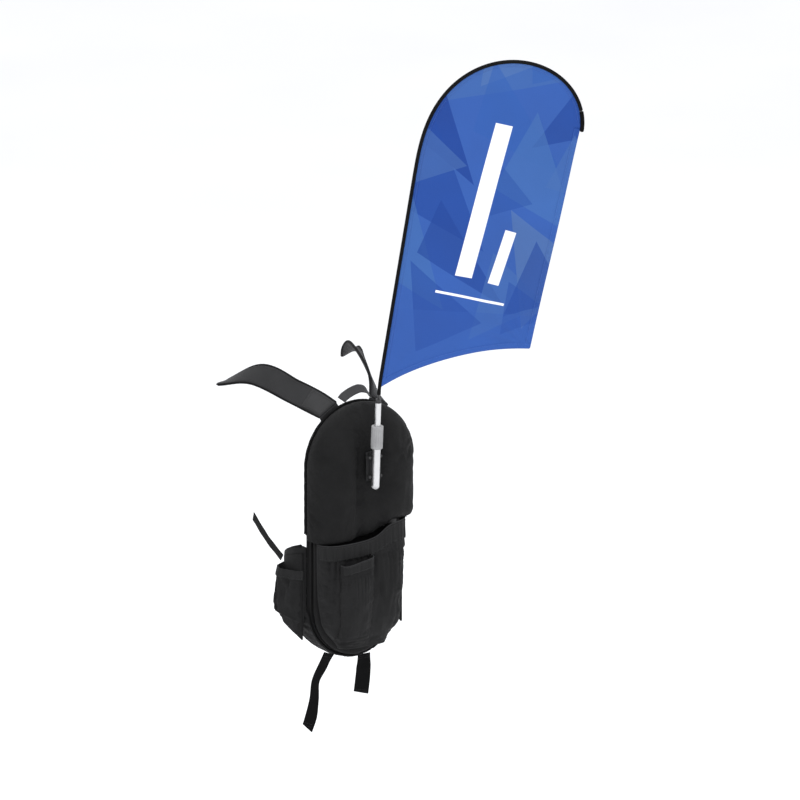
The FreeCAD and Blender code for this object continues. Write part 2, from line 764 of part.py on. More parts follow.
def grab_loop():
    """Webbing handle that stands on the upper rim."""
    foot_z = PANEL_TOP_ARC_Z + SHELL_HALF_W + PIPING_R + 3.0
    half = LOOP_HALF_W
    side = V(0, LOOP_W, LOOP_W) * 0.7
    y = SHELL_BACK_Y + PIPING_R
    points = [V(-half, y, foot_z), V(-half * 0.82, y, foot_z + LOOP_RISE * 0.55),
              V(-half * 0.4, y, foot_z + LOOP_RISE * 0.93), V(0, y, foot_z + LOOP_RISE),
              V(half * 0.4, y, foot_z + LOOP_RISE * 0.93),
              V(half * 0.82, y, foot_z + LOOP_RISE * 0.55), V(half, y, foot_z)]
    return strip(points, [side] * len(points), WEBBING_T)


# ---- write every sub-part -----------------------------------------------------------------------
def write_bodies():
    shell = outer_shell()
    rivets = bracket_rivets()
    cradle = tube_bracket(shell)
    save("back_panel", back_panel())
    save("frame_sheet", frame_sheet())
    save("outer_shell", shell.cut(rivets))
    save("shell_piping", shell_piping())
    save("lower_body", lower_body())
    save("main_pouch", main_pouch())
    save("main_pouch_hem", main_pouch_hem())
    save("leaflet_pocket", leaflet_pocket())
    save("leaflet_pocket_hem", leaflet_hem())
    save("lumbar_skirt", lumbar_skirt())
    save("tube_bracket", cradle.cut(rivets))
    save("bracket_rivets", rivets)
    for side, place in (("right", lambda s: s), ("left", mirror)):
        save("hip_wing_" + side, place(hip_wing()))
        save("hip_pouch_" + side, place(hip_pouch()))
        save("hip_webbing_" + side, place(hip_webbing_right()))


def write_tube():
    save("lower_tube", lower_tube())
    save("tube_end_cap", tube_end_cap())
    save("lock_collar", lock_collar())
    save("upper_tube", upper_tube())
    save("expander_plug", expander_plug())
    save("swivel_bush", swivel_bush())


def write_flag():
    save("pole_spigot", pole_spigot())
    save("pole_stop_ring", pole_stop_ring())
    save("pole_lower", pole_lower())
    save("pole_ferrule", pole_ferrule())
    save("pole_upper", pole_upper())
    save("pole_tip", pole_tip())
    save("pole_sleeve", pole_sleeve())
    save("flag_end_pocket", flag_end_pocket())
    save("flag_panel", flag_panel())
    save("flag_fly_hem", flag_fly_hem())
    save("flag_foot_hem", flag_foot_hem())


def write_straps():
    save("shoulder_strap_left", shoulder_strap_left())
    save("shoulder_strap_right", shoulder_strap_right())
    save("waist_tail_left", waist_tail_left())
    save("waist_tail_right", waist_tail_right())
    save("grab_loop", grab_loop())


os.makedirs("parts", exist_ok=True)
write_bodies()
write_tube()
write_flag()
write_straps()
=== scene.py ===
import math
import random

import bmesh
import bpy
import numpy as np
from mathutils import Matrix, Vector
from mathutils.bvhtree import BVHTree


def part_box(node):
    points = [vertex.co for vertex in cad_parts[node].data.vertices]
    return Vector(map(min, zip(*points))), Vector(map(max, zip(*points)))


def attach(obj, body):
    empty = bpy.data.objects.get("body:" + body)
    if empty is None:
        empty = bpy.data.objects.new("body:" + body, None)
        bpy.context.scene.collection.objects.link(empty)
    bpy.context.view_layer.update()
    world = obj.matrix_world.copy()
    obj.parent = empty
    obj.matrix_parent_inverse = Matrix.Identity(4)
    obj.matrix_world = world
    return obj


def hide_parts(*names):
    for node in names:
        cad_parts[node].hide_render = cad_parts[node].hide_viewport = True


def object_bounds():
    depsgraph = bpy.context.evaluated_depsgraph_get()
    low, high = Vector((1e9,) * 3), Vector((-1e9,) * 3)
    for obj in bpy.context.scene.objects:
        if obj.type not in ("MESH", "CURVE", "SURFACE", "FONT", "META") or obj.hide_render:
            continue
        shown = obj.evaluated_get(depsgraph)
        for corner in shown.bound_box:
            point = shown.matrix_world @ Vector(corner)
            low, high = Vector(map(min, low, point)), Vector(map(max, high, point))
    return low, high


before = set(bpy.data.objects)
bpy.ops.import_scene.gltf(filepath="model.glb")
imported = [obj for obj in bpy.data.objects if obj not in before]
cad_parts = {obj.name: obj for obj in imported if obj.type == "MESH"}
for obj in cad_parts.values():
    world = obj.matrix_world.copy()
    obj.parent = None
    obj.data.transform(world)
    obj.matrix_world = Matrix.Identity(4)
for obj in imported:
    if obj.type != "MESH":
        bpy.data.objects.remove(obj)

CAD_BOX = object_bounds()

# ---- camera: behind the wearer's left shoulder, slightly above -----------------------------------
VIEW_AZ = math.radians(-35)
VIEW_EL = math.radians(15)
VIEW_DISTANCE = 30.0
VIEW_WIDTH = 1.6            # metres across the picture at the pack
SENSOR = 36.0
AIM_RIGHT = 0.0976          # where the camera aims, measured across and up the view
AIM_UP = 0.250

RIGHT = Vector((math.cos(VIEW_AZ), math.sin(VIEW_AZ), 0))
AHEAD = Vector((-math.sin(VIEW_AZ) * math.cos(VIEW_EL), math.cos(VIEW_AZ) * math.cos(VIEW_EL),
                -math.sin(VIEW_EL)))
UP = RIGHT.cross(AHEAD)


def make_camera():
    data = bpy.data.cameras.new("camera")
    data.sensor_width = SENSOR
    data.lens = SENSOR * VIEW_DISTANCE / VIEW_WIDTH
    data.clip_end = 200
    cam = bpy.data.objects.new("camera", data)
    cam.location = RIGHT * AIM_RIGHT + UP * AIM_UP - AHEAD * VIEW_DISTANCE
    cam.rotation_euler = AHEAD.to_track_quat("-Z", "Y").to_euler()
    bpy.context.collection.objects.link(cam)
    bpy.context.scene.camera = cam


make_camera()

# ---- sizes read from the frame, in metres --------------------------------------------------------
PANEL_LOW, PANEL_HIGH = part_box("back_panel")
PANEL_R = PANEL_HIGH.x
PANEL_ARC_TOP = PANEL_HIGH.z - PANEL_R
PANEL_ARC_LOW = PANEL_LOW.z + PANEL_R
PANEL_BACK_Y = PANEL_LOW.y
SHEET_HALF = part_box("frame_sheet")[1].x
SHELL_LOW, SHELL_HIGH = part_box("outer_shell")
SHELL_R = SHELL_HIGH.z - PANEL_ARC_TOP
SHELL_R = round(SHELL_R / math.sin(math.radians(79)), 4) if SHELL_R < 0.121 else SHELL_R
SHELL_BACK_Y = SHELL_HIGH.y
SHELL_DEPTH = SHELL_BACK_Y - SHELL_LOW.y
LOWER_LOW, LOWER_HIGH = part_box("lower_body")
POUCH_LOW, POUCH_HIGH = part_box("main_pouch")
LEAFLET_LOW, LEAFLET_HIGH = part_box("leaflet_pocket")
WING_LOW, WING_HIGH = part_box("hip_wing_right")
HIP_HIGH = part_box("hip_pouch_right")[1]
WING_RISE = 0.028
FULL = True


# ---- materials -----------------------------------------------------------------------------------
SOCKETS = {"sheen": "Sheen Weight", "fuzz_spread": "Sheen Roughness", "shine": "Specular IOR Level",
           "metal": "Metallic"}


class Nodes:
    """Short way to build a material's node tree."""

    def __init__(self, name):
        self.mat = bpy.data.materials.new(name)
        self.mat.use_nodes = True
        self.tree = self.mat.node_tree
        self.bsdf = self.tree.nodes["Principled BSDF"]

    def new(self, kind, **values):
        node = self.tree.nodes.new(kind)
        for key, value in values.items():
            if hasattr(node, key) and key not in node.inputs:
                setattr(node, key, value)
            else:
                node.inputs[key].default_value = value
        return node

    def link(self, a, b):
        self.tree.links.new(a, b)

    def put(self, socket, value):
        """Link a socket or set a constant."""
        if isinstance(value, bpy.types.NodeSocket):
            self.link(value, socket)
        else:
            socket.default_value = value

    def math(self, op, a, b=0.0, c=None):
        node = self.tree.nodes.new("ShaderNodeMath")
        node.operation = op
        self.put(node.inputs[0], a)
        self.put(node.inputs[1], b)
        if c is not None:
            self.put(node.inputs[2], c)
        return node.outputs[0]

    def noise(self, vector, scale, detail=3.0, rough=0.55):
        node = self.new("ShaderNodeTexNoise")
        node.inputs["Scale"].default_value = scale
        node.inputs["Detail"].default_value = detail
        node.inputs["Roughness"].default_value = rough
        self.link(vector, node.inputs["Vector"])
        return node.outputs["Fac"]

    def ramp(self, value, low, high, start=0.3, end=0.7):
        """A value between low and high where value goes from start to end."""
        node = self.new("ShaderNodeMapRange")
        self.link(value, node.inputs["Value"])
        node.inputs["From Min"].default_value = start
        node.inputs["From Max"].default_value = end
        node.inputs["To Min"].default_value = low
        node.inputs["To Max"].default_value = high
        return node.outputs["Result"]

    def tint(self, base, factor):
        """Base colour multiplied by a varying factor."""
        combine = self.new("ShaderNodeCombineColor")
        for i in range(3):
            self.link(self.math("MULTIPLY", factor, base[i]), combine.inputs[i])
        return combine.outputs["Color"]

    def bump(self, height, distance, strength=1.0, below=None):
        node = self.new("ShaderNodeBump")
        node.inputs["Distance"].default_value = distance
        node.inputs["Strength"].default_value = strength
        self.link(height, node.inputs["Height"])
        if below is not None:
            self.link(below, node.inputs["Normal"])
        return node.outputs["Normal"]

    def place(self, output="Object"):
        return self.new("ShaderNodeTexCoord").outputs[output]

    def times(self, *values):
        """Product of sockets and numbers."""
        total = values[0]
        for value in values[1:]:
            total = self.math("MULTIPLY", total, value)
        return total

    def clamp(self, value):
        node = self.new("ShaderNodeClamp")
        self.link(value, node.inputs["Value"])
        return node.outputs["Result"]

    def surface(self, color, rough, normal, **levels):
        """Connect the shader and set its other sockets; returns the material."""
        for name, value in (("Base Color", color), ("Roughness", rough), ("Normal", normal)):
            self.put(self.bsdf.inputs[name], value)
        for name, value in levels.items():
            self.bsdf.inputs[SOCKETS[name]].default_value = value
        return self.mat

    def split(self, vector):
        node = self.new("ShaderNodeSeparateXYZ")
        self.link(vector, node.inputs[0])
        return node.outputs


def weave_height(n, a, b, pitch):
    """Plain weave: threads of the given pitch that pass over and under each other."""
    across, along = (n.math("SINE", n.times(axis, 2 * math.pi / pitch)) for axis in (a, b))
    return n.math("MULTIPLY_ADD", n.times(across, along), 0.5, 0.5)


def fabric(name, color, pitch=0.0011, sheen=0.012, crease=0.0012, fold=26.0):
    """Woven polyester. The weave follows the side of the pack, whichever way it faces."""
    n = Nodes(name)
    place = n.place()
    x, y, z = n.split(place)
    weave = weave_height(n, n.math("ADD", n.math("ABSOLUTE", x), y), z, pitch)
    folds = n.noise(place, fold, 4.0, 0.6)
    fuzz = n.noise(place, 900.0, 2.0)
    shade = n.times(n.ramp(n.noise(place, 9.0, 2.0), 0.82, 1.2), n.ramp(fuzz, 0.85, 1.15),
                    n.ramp(weave, 0.8, 1.12, 0.0, 1.0))
    normal = n.bump(fuzz, 0.00012, 0.5, n.bump(weave, 0.00022, 0.9, n.bump(folds, crease)))
    return n.surface(n.tint(color, shade), n.ramp(folds, 0.62, 0.82), normal,
                     sheen=sheen, fuzz_spread=0.45, shine=0.10)


def webbing(name, color, rib=0.0013, sheen=0.012, shine=0.12):
    """Narrow woven tape; UV runs across and along it in metres."""
    n = Nodes(name)
    u, v, _ = n.split(n.place("UV"))
    ribs = n.math("SINE", n.times(u, 2 * math.pi / (rib * 1.6)))
    twill = n.math("SINE", n.times(n.math("ADD", v, n.times(ribs, rib * 0.25)), 2 * math.pi / rib))
    height = n.math("MULTIPLY_ADD", n.math("ADD", n.times(ribs, 0.5), twill), 0.3, 0.5)
    place = n.place()
    fuzz = n.noise(place, 700.0, 2.0)
    broad = n.noise(place, 22.0, 3.0)
    shade = n.times(n.ramp(height, 0.7, 1.25, 0.0, 1.0), n.ramp(broad, 0.85, 1.15),
                    n.ramp(fuzz, 0.88, 1.12))
    return n.surface(n.tint(color, shade), n.ramp(broad, 0.60, 0.78),
                     n.bump(fuzz, 0.0001, 0.6, n.bump(height, 0.0003)),
                     sheen=sheen, fuzz_spread=0.4, shine=shine)


def thread(name, color):
    """Sewing thread."""
    n = Nodes(name)
    twist = n.noise(n.place(), 1600.0, 1.0)
    return n.surface(n.tint(color, n.ramp(twist, 0.75, 1.25)), 0.6, n.bump(twist, 0.0001))


def metal(name, color, rough, scratch=0.00004):
    """Satin metal with fine marks round the tube."""
    n = Nodes(name)
    place = n.place()
    stretch = n.new("ShaderNodeMapping")
    stretch.inputs["Scale"].default_value = (1.0, 1.0, 0.06)
    n.link(place, stretch.inputs["Vector"])
    grain = n.noise(stretch.outputs["Vector"], 1500.0, 3.0)
    smudge = n.noise(place, 45.0, 4.0)
    mixed = n.math("MULTIPLY_ADD", grain, 0.12, n.ramp(smudge, rough - 0.08, rough + 0.06))
    return n.surface(n.tint(color, n.ramp(smudge, 0.92, 1.04)), mixed, n.bump(grain, scratch), metal=1.0)


def plastic(name, color, rough=0.5, grain_size=900.0):
    """Moulded plastic with a fine spark-eroded grain."""
    n = Nodes(name)
    place = n.place()
    grain = n.noise(place, grain_size, 2.0)
    smudge = n.noise(place, 60.0, 4.0)
    return n.surface(n.tint(color, n.ramp(smudge, 0.88, 1.1)), n.ramp(smudge, rough - 0.08, rough + 0.1),
                     n.bump(grain, 0.00012, 0.7), shine=0.45)


def grey(level, blue):
    return level, level, blue


SHELL_CLOTH = fabric("shell_cloth", grey(0.0088, 0.0090))
POUCH_CLOTH = fabric("pouch_cloth", grey(0.0125, 0.0128), sheen=0.016, fold=32.0)
PAD_CLOTH = fabric("pad_cloth", grey(0.0085, 0.0088), pitch=0.0016)
LINING = fabric("lining_cloth", grey(0.0070, 0.0072))
BINDING = webbing("binding_tape", grey(0.0060, 0.0062), shine=0.08)
HEM_TAPE = webbing("hem_tape", grey(0.0125, 0.0128), sheen=0.016)
# Rolled top edge of the pocket hems: lighter than the hem tape as a painted highlight along the top fold.
HIGHLIT_EDGE_TAPE = webbing("edge_tape_painted_highlight", grey(0.027, 0.028), sheen=0.03)
STRAP_CLOTH = webbing("strap_cloth", grey(0.026, 0.027), rib=0.0015, sheen=0.06)
STRAP_PATCH = webbing("strap_patch", grey(0.036, 0.037), rib=0.0012, sheen=0.06)
BLACK_TAPE = webbing("black_webbing", grey(0.0045, 0.0047), sheen=0.005, shine=0.04)
SIDE_TAPE = webbing("side_webbing", grey(0.0090, 0.0093), sheen=0.01, shine=0.08)
LOOP_TAPE = webbing("loop_webbing", grey(0.040, 0.041), sheen=0.08)
THREAD = thread("black_thread", (0.018, 0.018, 0.019))
BLUE_THREAD = thread("blue_thread", (0.06, 0.15, 0.5))
SATIN_TUBE = metal("satin_aluminium", (0.66, 0.66, 0.665), 0.40)
STEEL = metal("plain_steel", (0.55, 0.55, 0.56), 0.32)
GREY_PLASTIC = plastic("collar_grey", (0.27, 0.27, 0.275), 0.55)
PALE_PLASTIC = plastic("cap_pale", (0.50, 0.50, 0.505), 0.45)
BLACK_PLASTIC = plastic("moulded_black", (0.02, 0.02, 0.021), 0.5)
ROD = plastic("black_rod", (0.012, 0.012, 0.012), 0.28, 300.0)


# ---- mesh helpers --------------------------------------------------------------------------------
def make_object(name, verts, faces, material, uvs=None, smooth=True):
    """Mesh object in the row frame. uvs holds one pair per vertex."""
    mesh = bpy.data.meshes.new(name)
    mesh.from_pydata([tuple(v) for v in verts], [], faces)
    if uvs is not None:
        layer = mesh.uv_layers.new(name="UVMap")
        index = np.zeros(len(mesh.loops), dtype=np.int32)
        mesh.loops.foreach_get("vertex_index", index)
        layer.data.foreach_set("uv", np.asarray(uvs, dtype=np.float32)[index].ravel())
    mesh.materials.append(material)
    mesh.polygons.foreach_set("use_smooth", [smooth] * len(mesh.polygons))
    mesh.update()
    obj = bpy.data.objects.new(name, mesh)
    bpy.context.collection.objects.link(obj)
    return obj


def grid_faces(rows, cols, wrap=False):
    """Quads over rows x cols vertices; wrap joins the last column to the first."""
    faces = []
    for r in range(rows - 1):
        for c in range(cols if wrap else cols - 1):
            d = (c + 1) % cols
            faces.append((r * cols + c, r * cols + d, (r + 1) * cols + d, (r + 1) * cols + c))
    return faces


def recalc(obj, merge=0.00005):
    """Point all faces outward; with merge, doubled vertices are joined first."""
    work = bmesh.new()
    work.from_mesh(obj.data)
    if merge:
        bmesh.ops.remove_doubles(work, verts=work.verts, dist=merge)
    bmesh.ops.recalc_face_normals(work, faces=work.faces)
    work.to_mesh(obj.data)
    work.free()
    obj.data.update()
    return obj


def closed_faces(rows, cols):
    """Quads of a tube of rows rings, cols places each, with both ends closed."""
    ends = [tuple(range(cols))[::-1], tuple((rows - 1) * cols + i for i in range(cols))]
    return grid_faces(rows, cols, wrap=True) + ends


def tape_object(name, verts, sides, material, uvs, body, slot, *nodes):
    """Closed band of rings with the given number of sides, riding on a body."""
    obj = make_object(name, verts, closed_faces(len(verts) // sides, sides), material, uvs)
    return slot_of(recalc(obj, merge=0), body, slot, *nodes)


def run_along(line):
    """Distance along a line, at each of its places."""
    return np.concatenate([[0], np.cumsum(np.linalg.norm(np.diff(line, axis=0), axis=1))])


def smooth_path(points, count):
    """Catmull-Rom curve through points, as an array of count places."""
    p = np.array([tuple(q) for q in points], float)
    p = np.vstack([2 * p[0] - p[1], p, 2 * p[-1] - p[-2]])
    spans = len(p) - 3
    out = []
    for value in np.linspace(0, spans, count):
        i = min(int(value), spans - 1)
        t = value - i
        a, b, c, d = p[i], p[i + 1], p[i + 2], p[i + 3]
        out.append(0.5 * (2 * b + (c - a) * t + (2 * a - 5 * b + 4 * c - d) * t ** 2
                          + (3 * b - a - 3 * c + d) * t ** 3))
    return np.array(out)


def unit_rows(a):
    return a / np.maximum(np.linalg.norm(a, axis=1), 1e-9)[:, None]


def ribbon(name, points, widths, thick, material, rows=70, cols=11, crown=0.0, wave=0.0,
           end_slant=0.0, ride=()):
    """Flat strap along points; widths are vectors across it. ride holds body, slot and CAD nodes.
    Returns the closed, rounded band with its line, cross directions, face directions and half widths."""
    line = smooth_path(points, rows)
    side = smooth_path(widths, rows)
    half = np.linalg.norm(side, axis=1) / 2
    ahead = unit_rows(np.gradient(line, axis=0))
    across = unit_rows(side - ahead * np.sum(side * ahead, axis=1)[:, None])
    up = np.cross(ahead, across)
    along = run_along(line)
    share = along / along[-1]
    verts, uvs = [], []
    lay = np.linspace(-1, 1, cols)
    for r in range(rows):
        slant = end_slant * max(0.0, (share[r] - 0.85) / 0.15)
        for face in (1, -1):
            for s in lay[::face]:
                edge = (1 - abs(s) ** 8) ** 0.5
                lift = face * thick / 2 * (0.35 + 0.65 * edge) + crown * (1 - s * s)
                lift += wave * math.sin(share[r] * 19 + 2.2 * s)
                verts.append(line[r] + across[r] * (s * half[r]) + up[r] * lift + ahead[r] * (s * slant))
                uvs.append((s * half[r], along[r]))
    obj = tape_object(name, verts, 2 * cols, material, uvs, *ride)
    return obj, line, across, up, half


def cross_seams(band, rows, lift, count, inset=0.002, faces=(1, -1)):
    """Seams across a band at the given rows, on its upper and lower face."""
    _, line, across, up, half = band
    seams = []
    for face in faces:
        for i in rows:
            seam = [line[i] + across[i] * s * (half[i] - inset) + up[i] * face * lift
                    for s in np.linspace(-1, 1, count)]
            seams.append((seam, [up[i] * face] * count))
    return seams


def cord_tube(name, line, radius, material, sides=12, ruck=0.0):
    """Round tube along a list of places; radius may vary along it."""
    line = np.asarray(line, float)
    count = len(line)
    radii = np.full(count, radius) if np.isscalar(radius) else np.asarray(radius)
    ahead = unit_rows(np.gradient(line, axis=0))
    start = np.cross(ahead[0], [0.3, 0.9, 0.2])
    out = start / np.linalg.norm(start)
    along = run_along(line)
    verts, uvs = [], []
    for r in range(count):
        out = out - ahead[r] * np.dot(out, ahead[r])
        out = out / np.linalg.norm(out)
        up = np.cross(ahead[r], out)
        for k in range(sides):
            angle = 2 * math.pi * k / sides
            rad = radii[r] * (1 + ruck * math.sin(along[r] * 700 + 3 * math.sin(angle)))
            verts.append(line[r] + (out * math.cos(angle) + up * math.sin(angle)) * rad)
            uvs.append((angle * radii[r], along[r]))
    return make_object(name, verts, closed_faces(count, sides), material, uvs)


def stitches(name, runs, body, material=None, pitch=0.0042, length=0.0028, radius=0.00032):
    """Rows of thread stitches. runs is a list of (places, normals) along seams."""
    verts, faces = [], []
    for places, normals in runs:
        places = np.asarray(places, float)
        normals = np.asarray(normals, float)
        along = run_along(places)
        if along[-1] < pitch:
            continue
        for begin in np.arange(pitch * 0.3, along[-1] - length, pitch):
            ends = [np.array([np.interp(begin + t, along, places[:, k]) for k in range(3)])
                    for t in (0, length)]
            normal = np.array([np.interp(begin, along, normals[:, k]) for k in range(3)])
            normal = normal / max(np.linalg.norm(normal), 1e-9)
            ahead = ends[1] - ends[0]
            ahead = ahead / max(np.linalg.norm(ahead), 1e-9)
            side = np.cross(ahead, normal)
            base = len(verts)
            for t, lift, size in ((0, -0.4, 0.5), (0.2, 0.5, 1), (0.8, 0.5, 1), (1, -0.4, 0.5)):
                centre = ends[0] * (1 - t) + ends[1] * t + normal * radius * lift
                for k in range(5):
                    a = 2 * math.pi * k / 5
                    verts.append(centre + (side * math.cos(a) + normal * math.sin(a)) * radius * size)
            for ring in range(3):
                for k in range(5):
                    d = (k + 1) % 5
                    faces.append((base + ring * 5 + k, base + ring * 5 + d,
                                  base + ring * 5 + 5 + d, base + ring * 5 + 5 + k))
            faces.append(tuple(base + k for k in range(5))[::-1])
            faces.append(tuple(base + 15 + k for k in range(5)))
    obj = make_object(name, verts, faces, material or THREAD)
    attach(obj, body)
    return obj


def coords(obj):
    co = np.zeros(len(obj.data.vertices) * 3, np.float64)
    obj.data.vertices.foreach_get("co", co)
    return co.reshape(-1, 3)


def set_coords(obj, co):
    obj.data.vertices.foreach_set("co", np.asarray(co, np.float32).ravel())
    obj.data.update()


def apply_modifiers(obj):
    """Bake the modifiers into the mesh."""
    depsgraph = bpy.context.evaluated_depsgraph_get()
    mesh = bpy.data.meshes.new_from_object(obj.evaluated_get(depsgraph))
    obj.modifiers.clear()
    old = obj.data
    obj.data = mesh
    bpy.data.meshes.remove(old)


def remesh(obj, voxel):
    mod = obj.modifiers.new("remesh", "REMESH")
    mod.mode = "VOXEL"
    mod.voxel_size = voxel
    mod.use_smooth_shade = True
    material = obj.data.materials[0]
    apply_modifiers(obj)
    if not obj.data.materials:
        obj.data.materials.append(material)


def thicken(obj, thickness):
    """Give a sheet its thickness, half on each side."""
    mod = obj.modifiers.new("thickness", "SOLIDIFY")
    mod.thickness = thickness
    mod.offset = 0
    apply_modifiers(obj)


def soften(obj, times):
    mod = obj.modifiers.new("smooth", "SMOOTH")
    mod.iterations = times
    apply_modifiers(obj)


SIM_FRAMES = 20
CLOTH_STIFFNESS = 15.0


def simulate(obj, hold, pressure=4.0, growth=0.0, cap=0.008, bend=0.5):
    """Cloth simulation. hold(co) gives each vertex's pin weight from 0 to 1."""
    if not FULL:
        return
    start = coords(obj)
    group = obj.vertex_groups.new(name="hold")
    for i, weight in enumerate(hold(start)):
        if weight > 0:
            group.add([i], float(weight), "REPLACE")
    mod = obj.modifiers.new("cloth", "CLOTH")
    cloth = mod.settings
    cloth.quality = 5
    cloth.mass = 0.15
    cloth.tension_stiffness = CLOTH_STIFFNESS
    cloth.compression_stiffness = CLOTH_STIFFNESS
    cloth.shear_stiffness = 5
    cloth.bending_stiffness = bend
    cloth.shrink_min = -growth
    cloth.use_pressure = pressure > 0
    cloth.uniform_pressure_force = pressure
    cloth.vertex_group_mass = "hold"
    cloth.effector_weights.gravity = 0
    mod.collision_settings.use_collision = False
    mod.point_cache.frame_start = 1
    mod.point_cache.frame_end = SIM_FRAMES
    scene = bpy.context.scene
    for step in range(1, SIM_FRAMES + 1):
        scene.frame_set(step)
    apply_modifiers(obj)
    moved = coords(obj) - start
    far = np.linalg.norm(moved, axis=1)
    scale = cap * np.tanh(far / cap) / np.maximum(far, 1e-9)
    set_coords(obj, start + moved * scale[:, None])
    scene.frame_set(1)


def subdivide(obj, levels=1):
    mod = obj.modifiers.new("subdivide", "SUBSURF")
    mod.levels = levels
    mod.render_levels = levels


def creases(co, seed, count, box_low, box_high, depth, length=0.12, width=0.006):
    """Offsets for a few random soft crease lines; returns a depth for each place."""
    rng = random.Random(seed)
    total = np.zeros(len(co))
    for _ in range(count):
        centre = np.array([rng.uniform(box_low[k], box_high[k]) for k in range(3)])
        angle = rng.gauss(math.pi / 2, 0.35)
        line = np.array([math.cos(angle), 0, math.sin(angle)])
        rel = co - centre
        down = rel @ line
        off = np.linalg.norm((rel - down[:, None] * line)[:, [0, 2]], axis=1)
        span = length * rng.uniform(0.5, 1.2)
        total += rng.uniform(0.4, 1.0) * np.exp(-(off / width) ** 2 - (down / span) ** 2)
    return total * depth


def slot_of(obj, body, slot, *nodes):
    """Ride on a body and stand for CAD nodes, which are hidden. The slot is not used."""
    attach(obj, body)
    if nodes:
        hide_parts(*nodes)
    return obj


# ---- outlines ------------------------------------------------------------------------------------
def stadium_point(angle, radius):
    """Place on the pack's upright outline; angle 0 is +X, a quarter turn is the top."""
    centre_z = PANEL_ARC_TOP if math.sin(angle) >= 0 else PANEL_ARC_LOW
    return radius * math.cos(angle), centre_z + radius * math.sin(angle)


def stadium_loop(radius, per_arc=40, per_side=24):
    """Places round the whole outline, top arc first, without a repeated end."""
    places = [stadium_point(a, radius) for a in np.linspace(0, math.pi, per_arc)]
    z_run = np.linspace(PANEL_ARC_TOP, PANEL_ARC_LOW, per_side)[1:-1]
    places += [(-radius, z) for z in z_run]
    places += [stadium_point(a, radius) for a in np.linspace(-math.pi, -1e-6, per_arc)]
    places += [(radius, z) for z in z_run[::-1]]
    return places


def spine_z(z):
    """Nearest height on the outline's centre line."""
    return min(max(z, PANEL_ARC_LOW), PANEL_ARC_TOP)


def dished_solid(name, outline, rings, place, material, wall):
    """Two faces of shrinking rings. place(x, z, t, face) puts each vertex; wall joins the outer rings."""
    verts = [place(x, z, k / rings, face) for face in (1, -1) for k in range(rings + 1) for x, z in outline]
    count = len(outline)
    other = (rings + 1) * count
    faces = [tuple(base + i for i in f) for base in (0, other)
             for f in grid_faces(rings + 1, count, wrap=True)]
    last = rings * count
    if wall:
        for c in range(count):
            d = (c + 1) % count
            faces.append((last + c, last + d, other + last + d, other + last + c))
    return recalc(make_object(name, verts, faces, material))


# ---- profiles ------------------------------------------------------------------------------------
def lobe(a, groove):
    """Depth share across a lobed section; a runs from -1 to 1."""
    a = np.clip(np.abs(a), 0, 1)
    return (1 - a ** 4) ** 0.4 * (1 - (1 - groove) * np.exp(-(a / 0.2) ** 2))


def shell_row(z):
    """Half width and depth of the upper body at a height."""
    if z <= PANEL_ARC_TOP:
        return SHELL_R, SHELL_DEPTH
    turn = math.asin(min(1.0, (z - PANEL_ARC_TOP) / SHELL_R))
    return SHELL_R * math.cos(turn), SHELL_DEPTH * math.cos(turn) ** 0.7


def front_solid(name, rows, columns, place, back_y, material):
    """Closed solid from a lobed front surface and its flat back."""
    verts = []
    for row in rows:
        for a in columns:
            verts.append(place(row, a))
    count = len(columns)
    faces = grid_faces(len(rows), count)
    base = len(verts)
    for row in rows:
        for a in columns:
            x, _, z = place(row, a)
            verts.append((x, back_y, z))
    faces += [(base + f[3], base + f[2], base + f[1], base + f[0]) for f in grid_faces(len(rows), count)]
    last = (len(rows) - 1) * count
    for c in range(count - 1):
        faces.append((c, base + c, base + c + 1, c + 1)[::-1])
        faces.append((last + c, last + c + 1, base + last + c + 1, base + last + c)[::-1])
    for r in range(len(rows) - 1):
        for c in (0, count - 1):
            faces.append((r * count + c, (r + 1) * count + c, base + (r + 1) * count + c,
                          base + r * count + c))
    return recalc(make_object(name, verts, faces, material))


# ---- upper body ----------------------------------------------------------------------------------
def edge_shift(a):
    """The shell's lower edge stays just above the pouch's mouth."""
    return float(mouth_sag(a)) + POUCH_HIGH.z - SHELL_LOW.z + 0.001


def t_of(z):
    return min(max((z - SHELL_LOW.z) / 0.20, 0.0), 1.0)


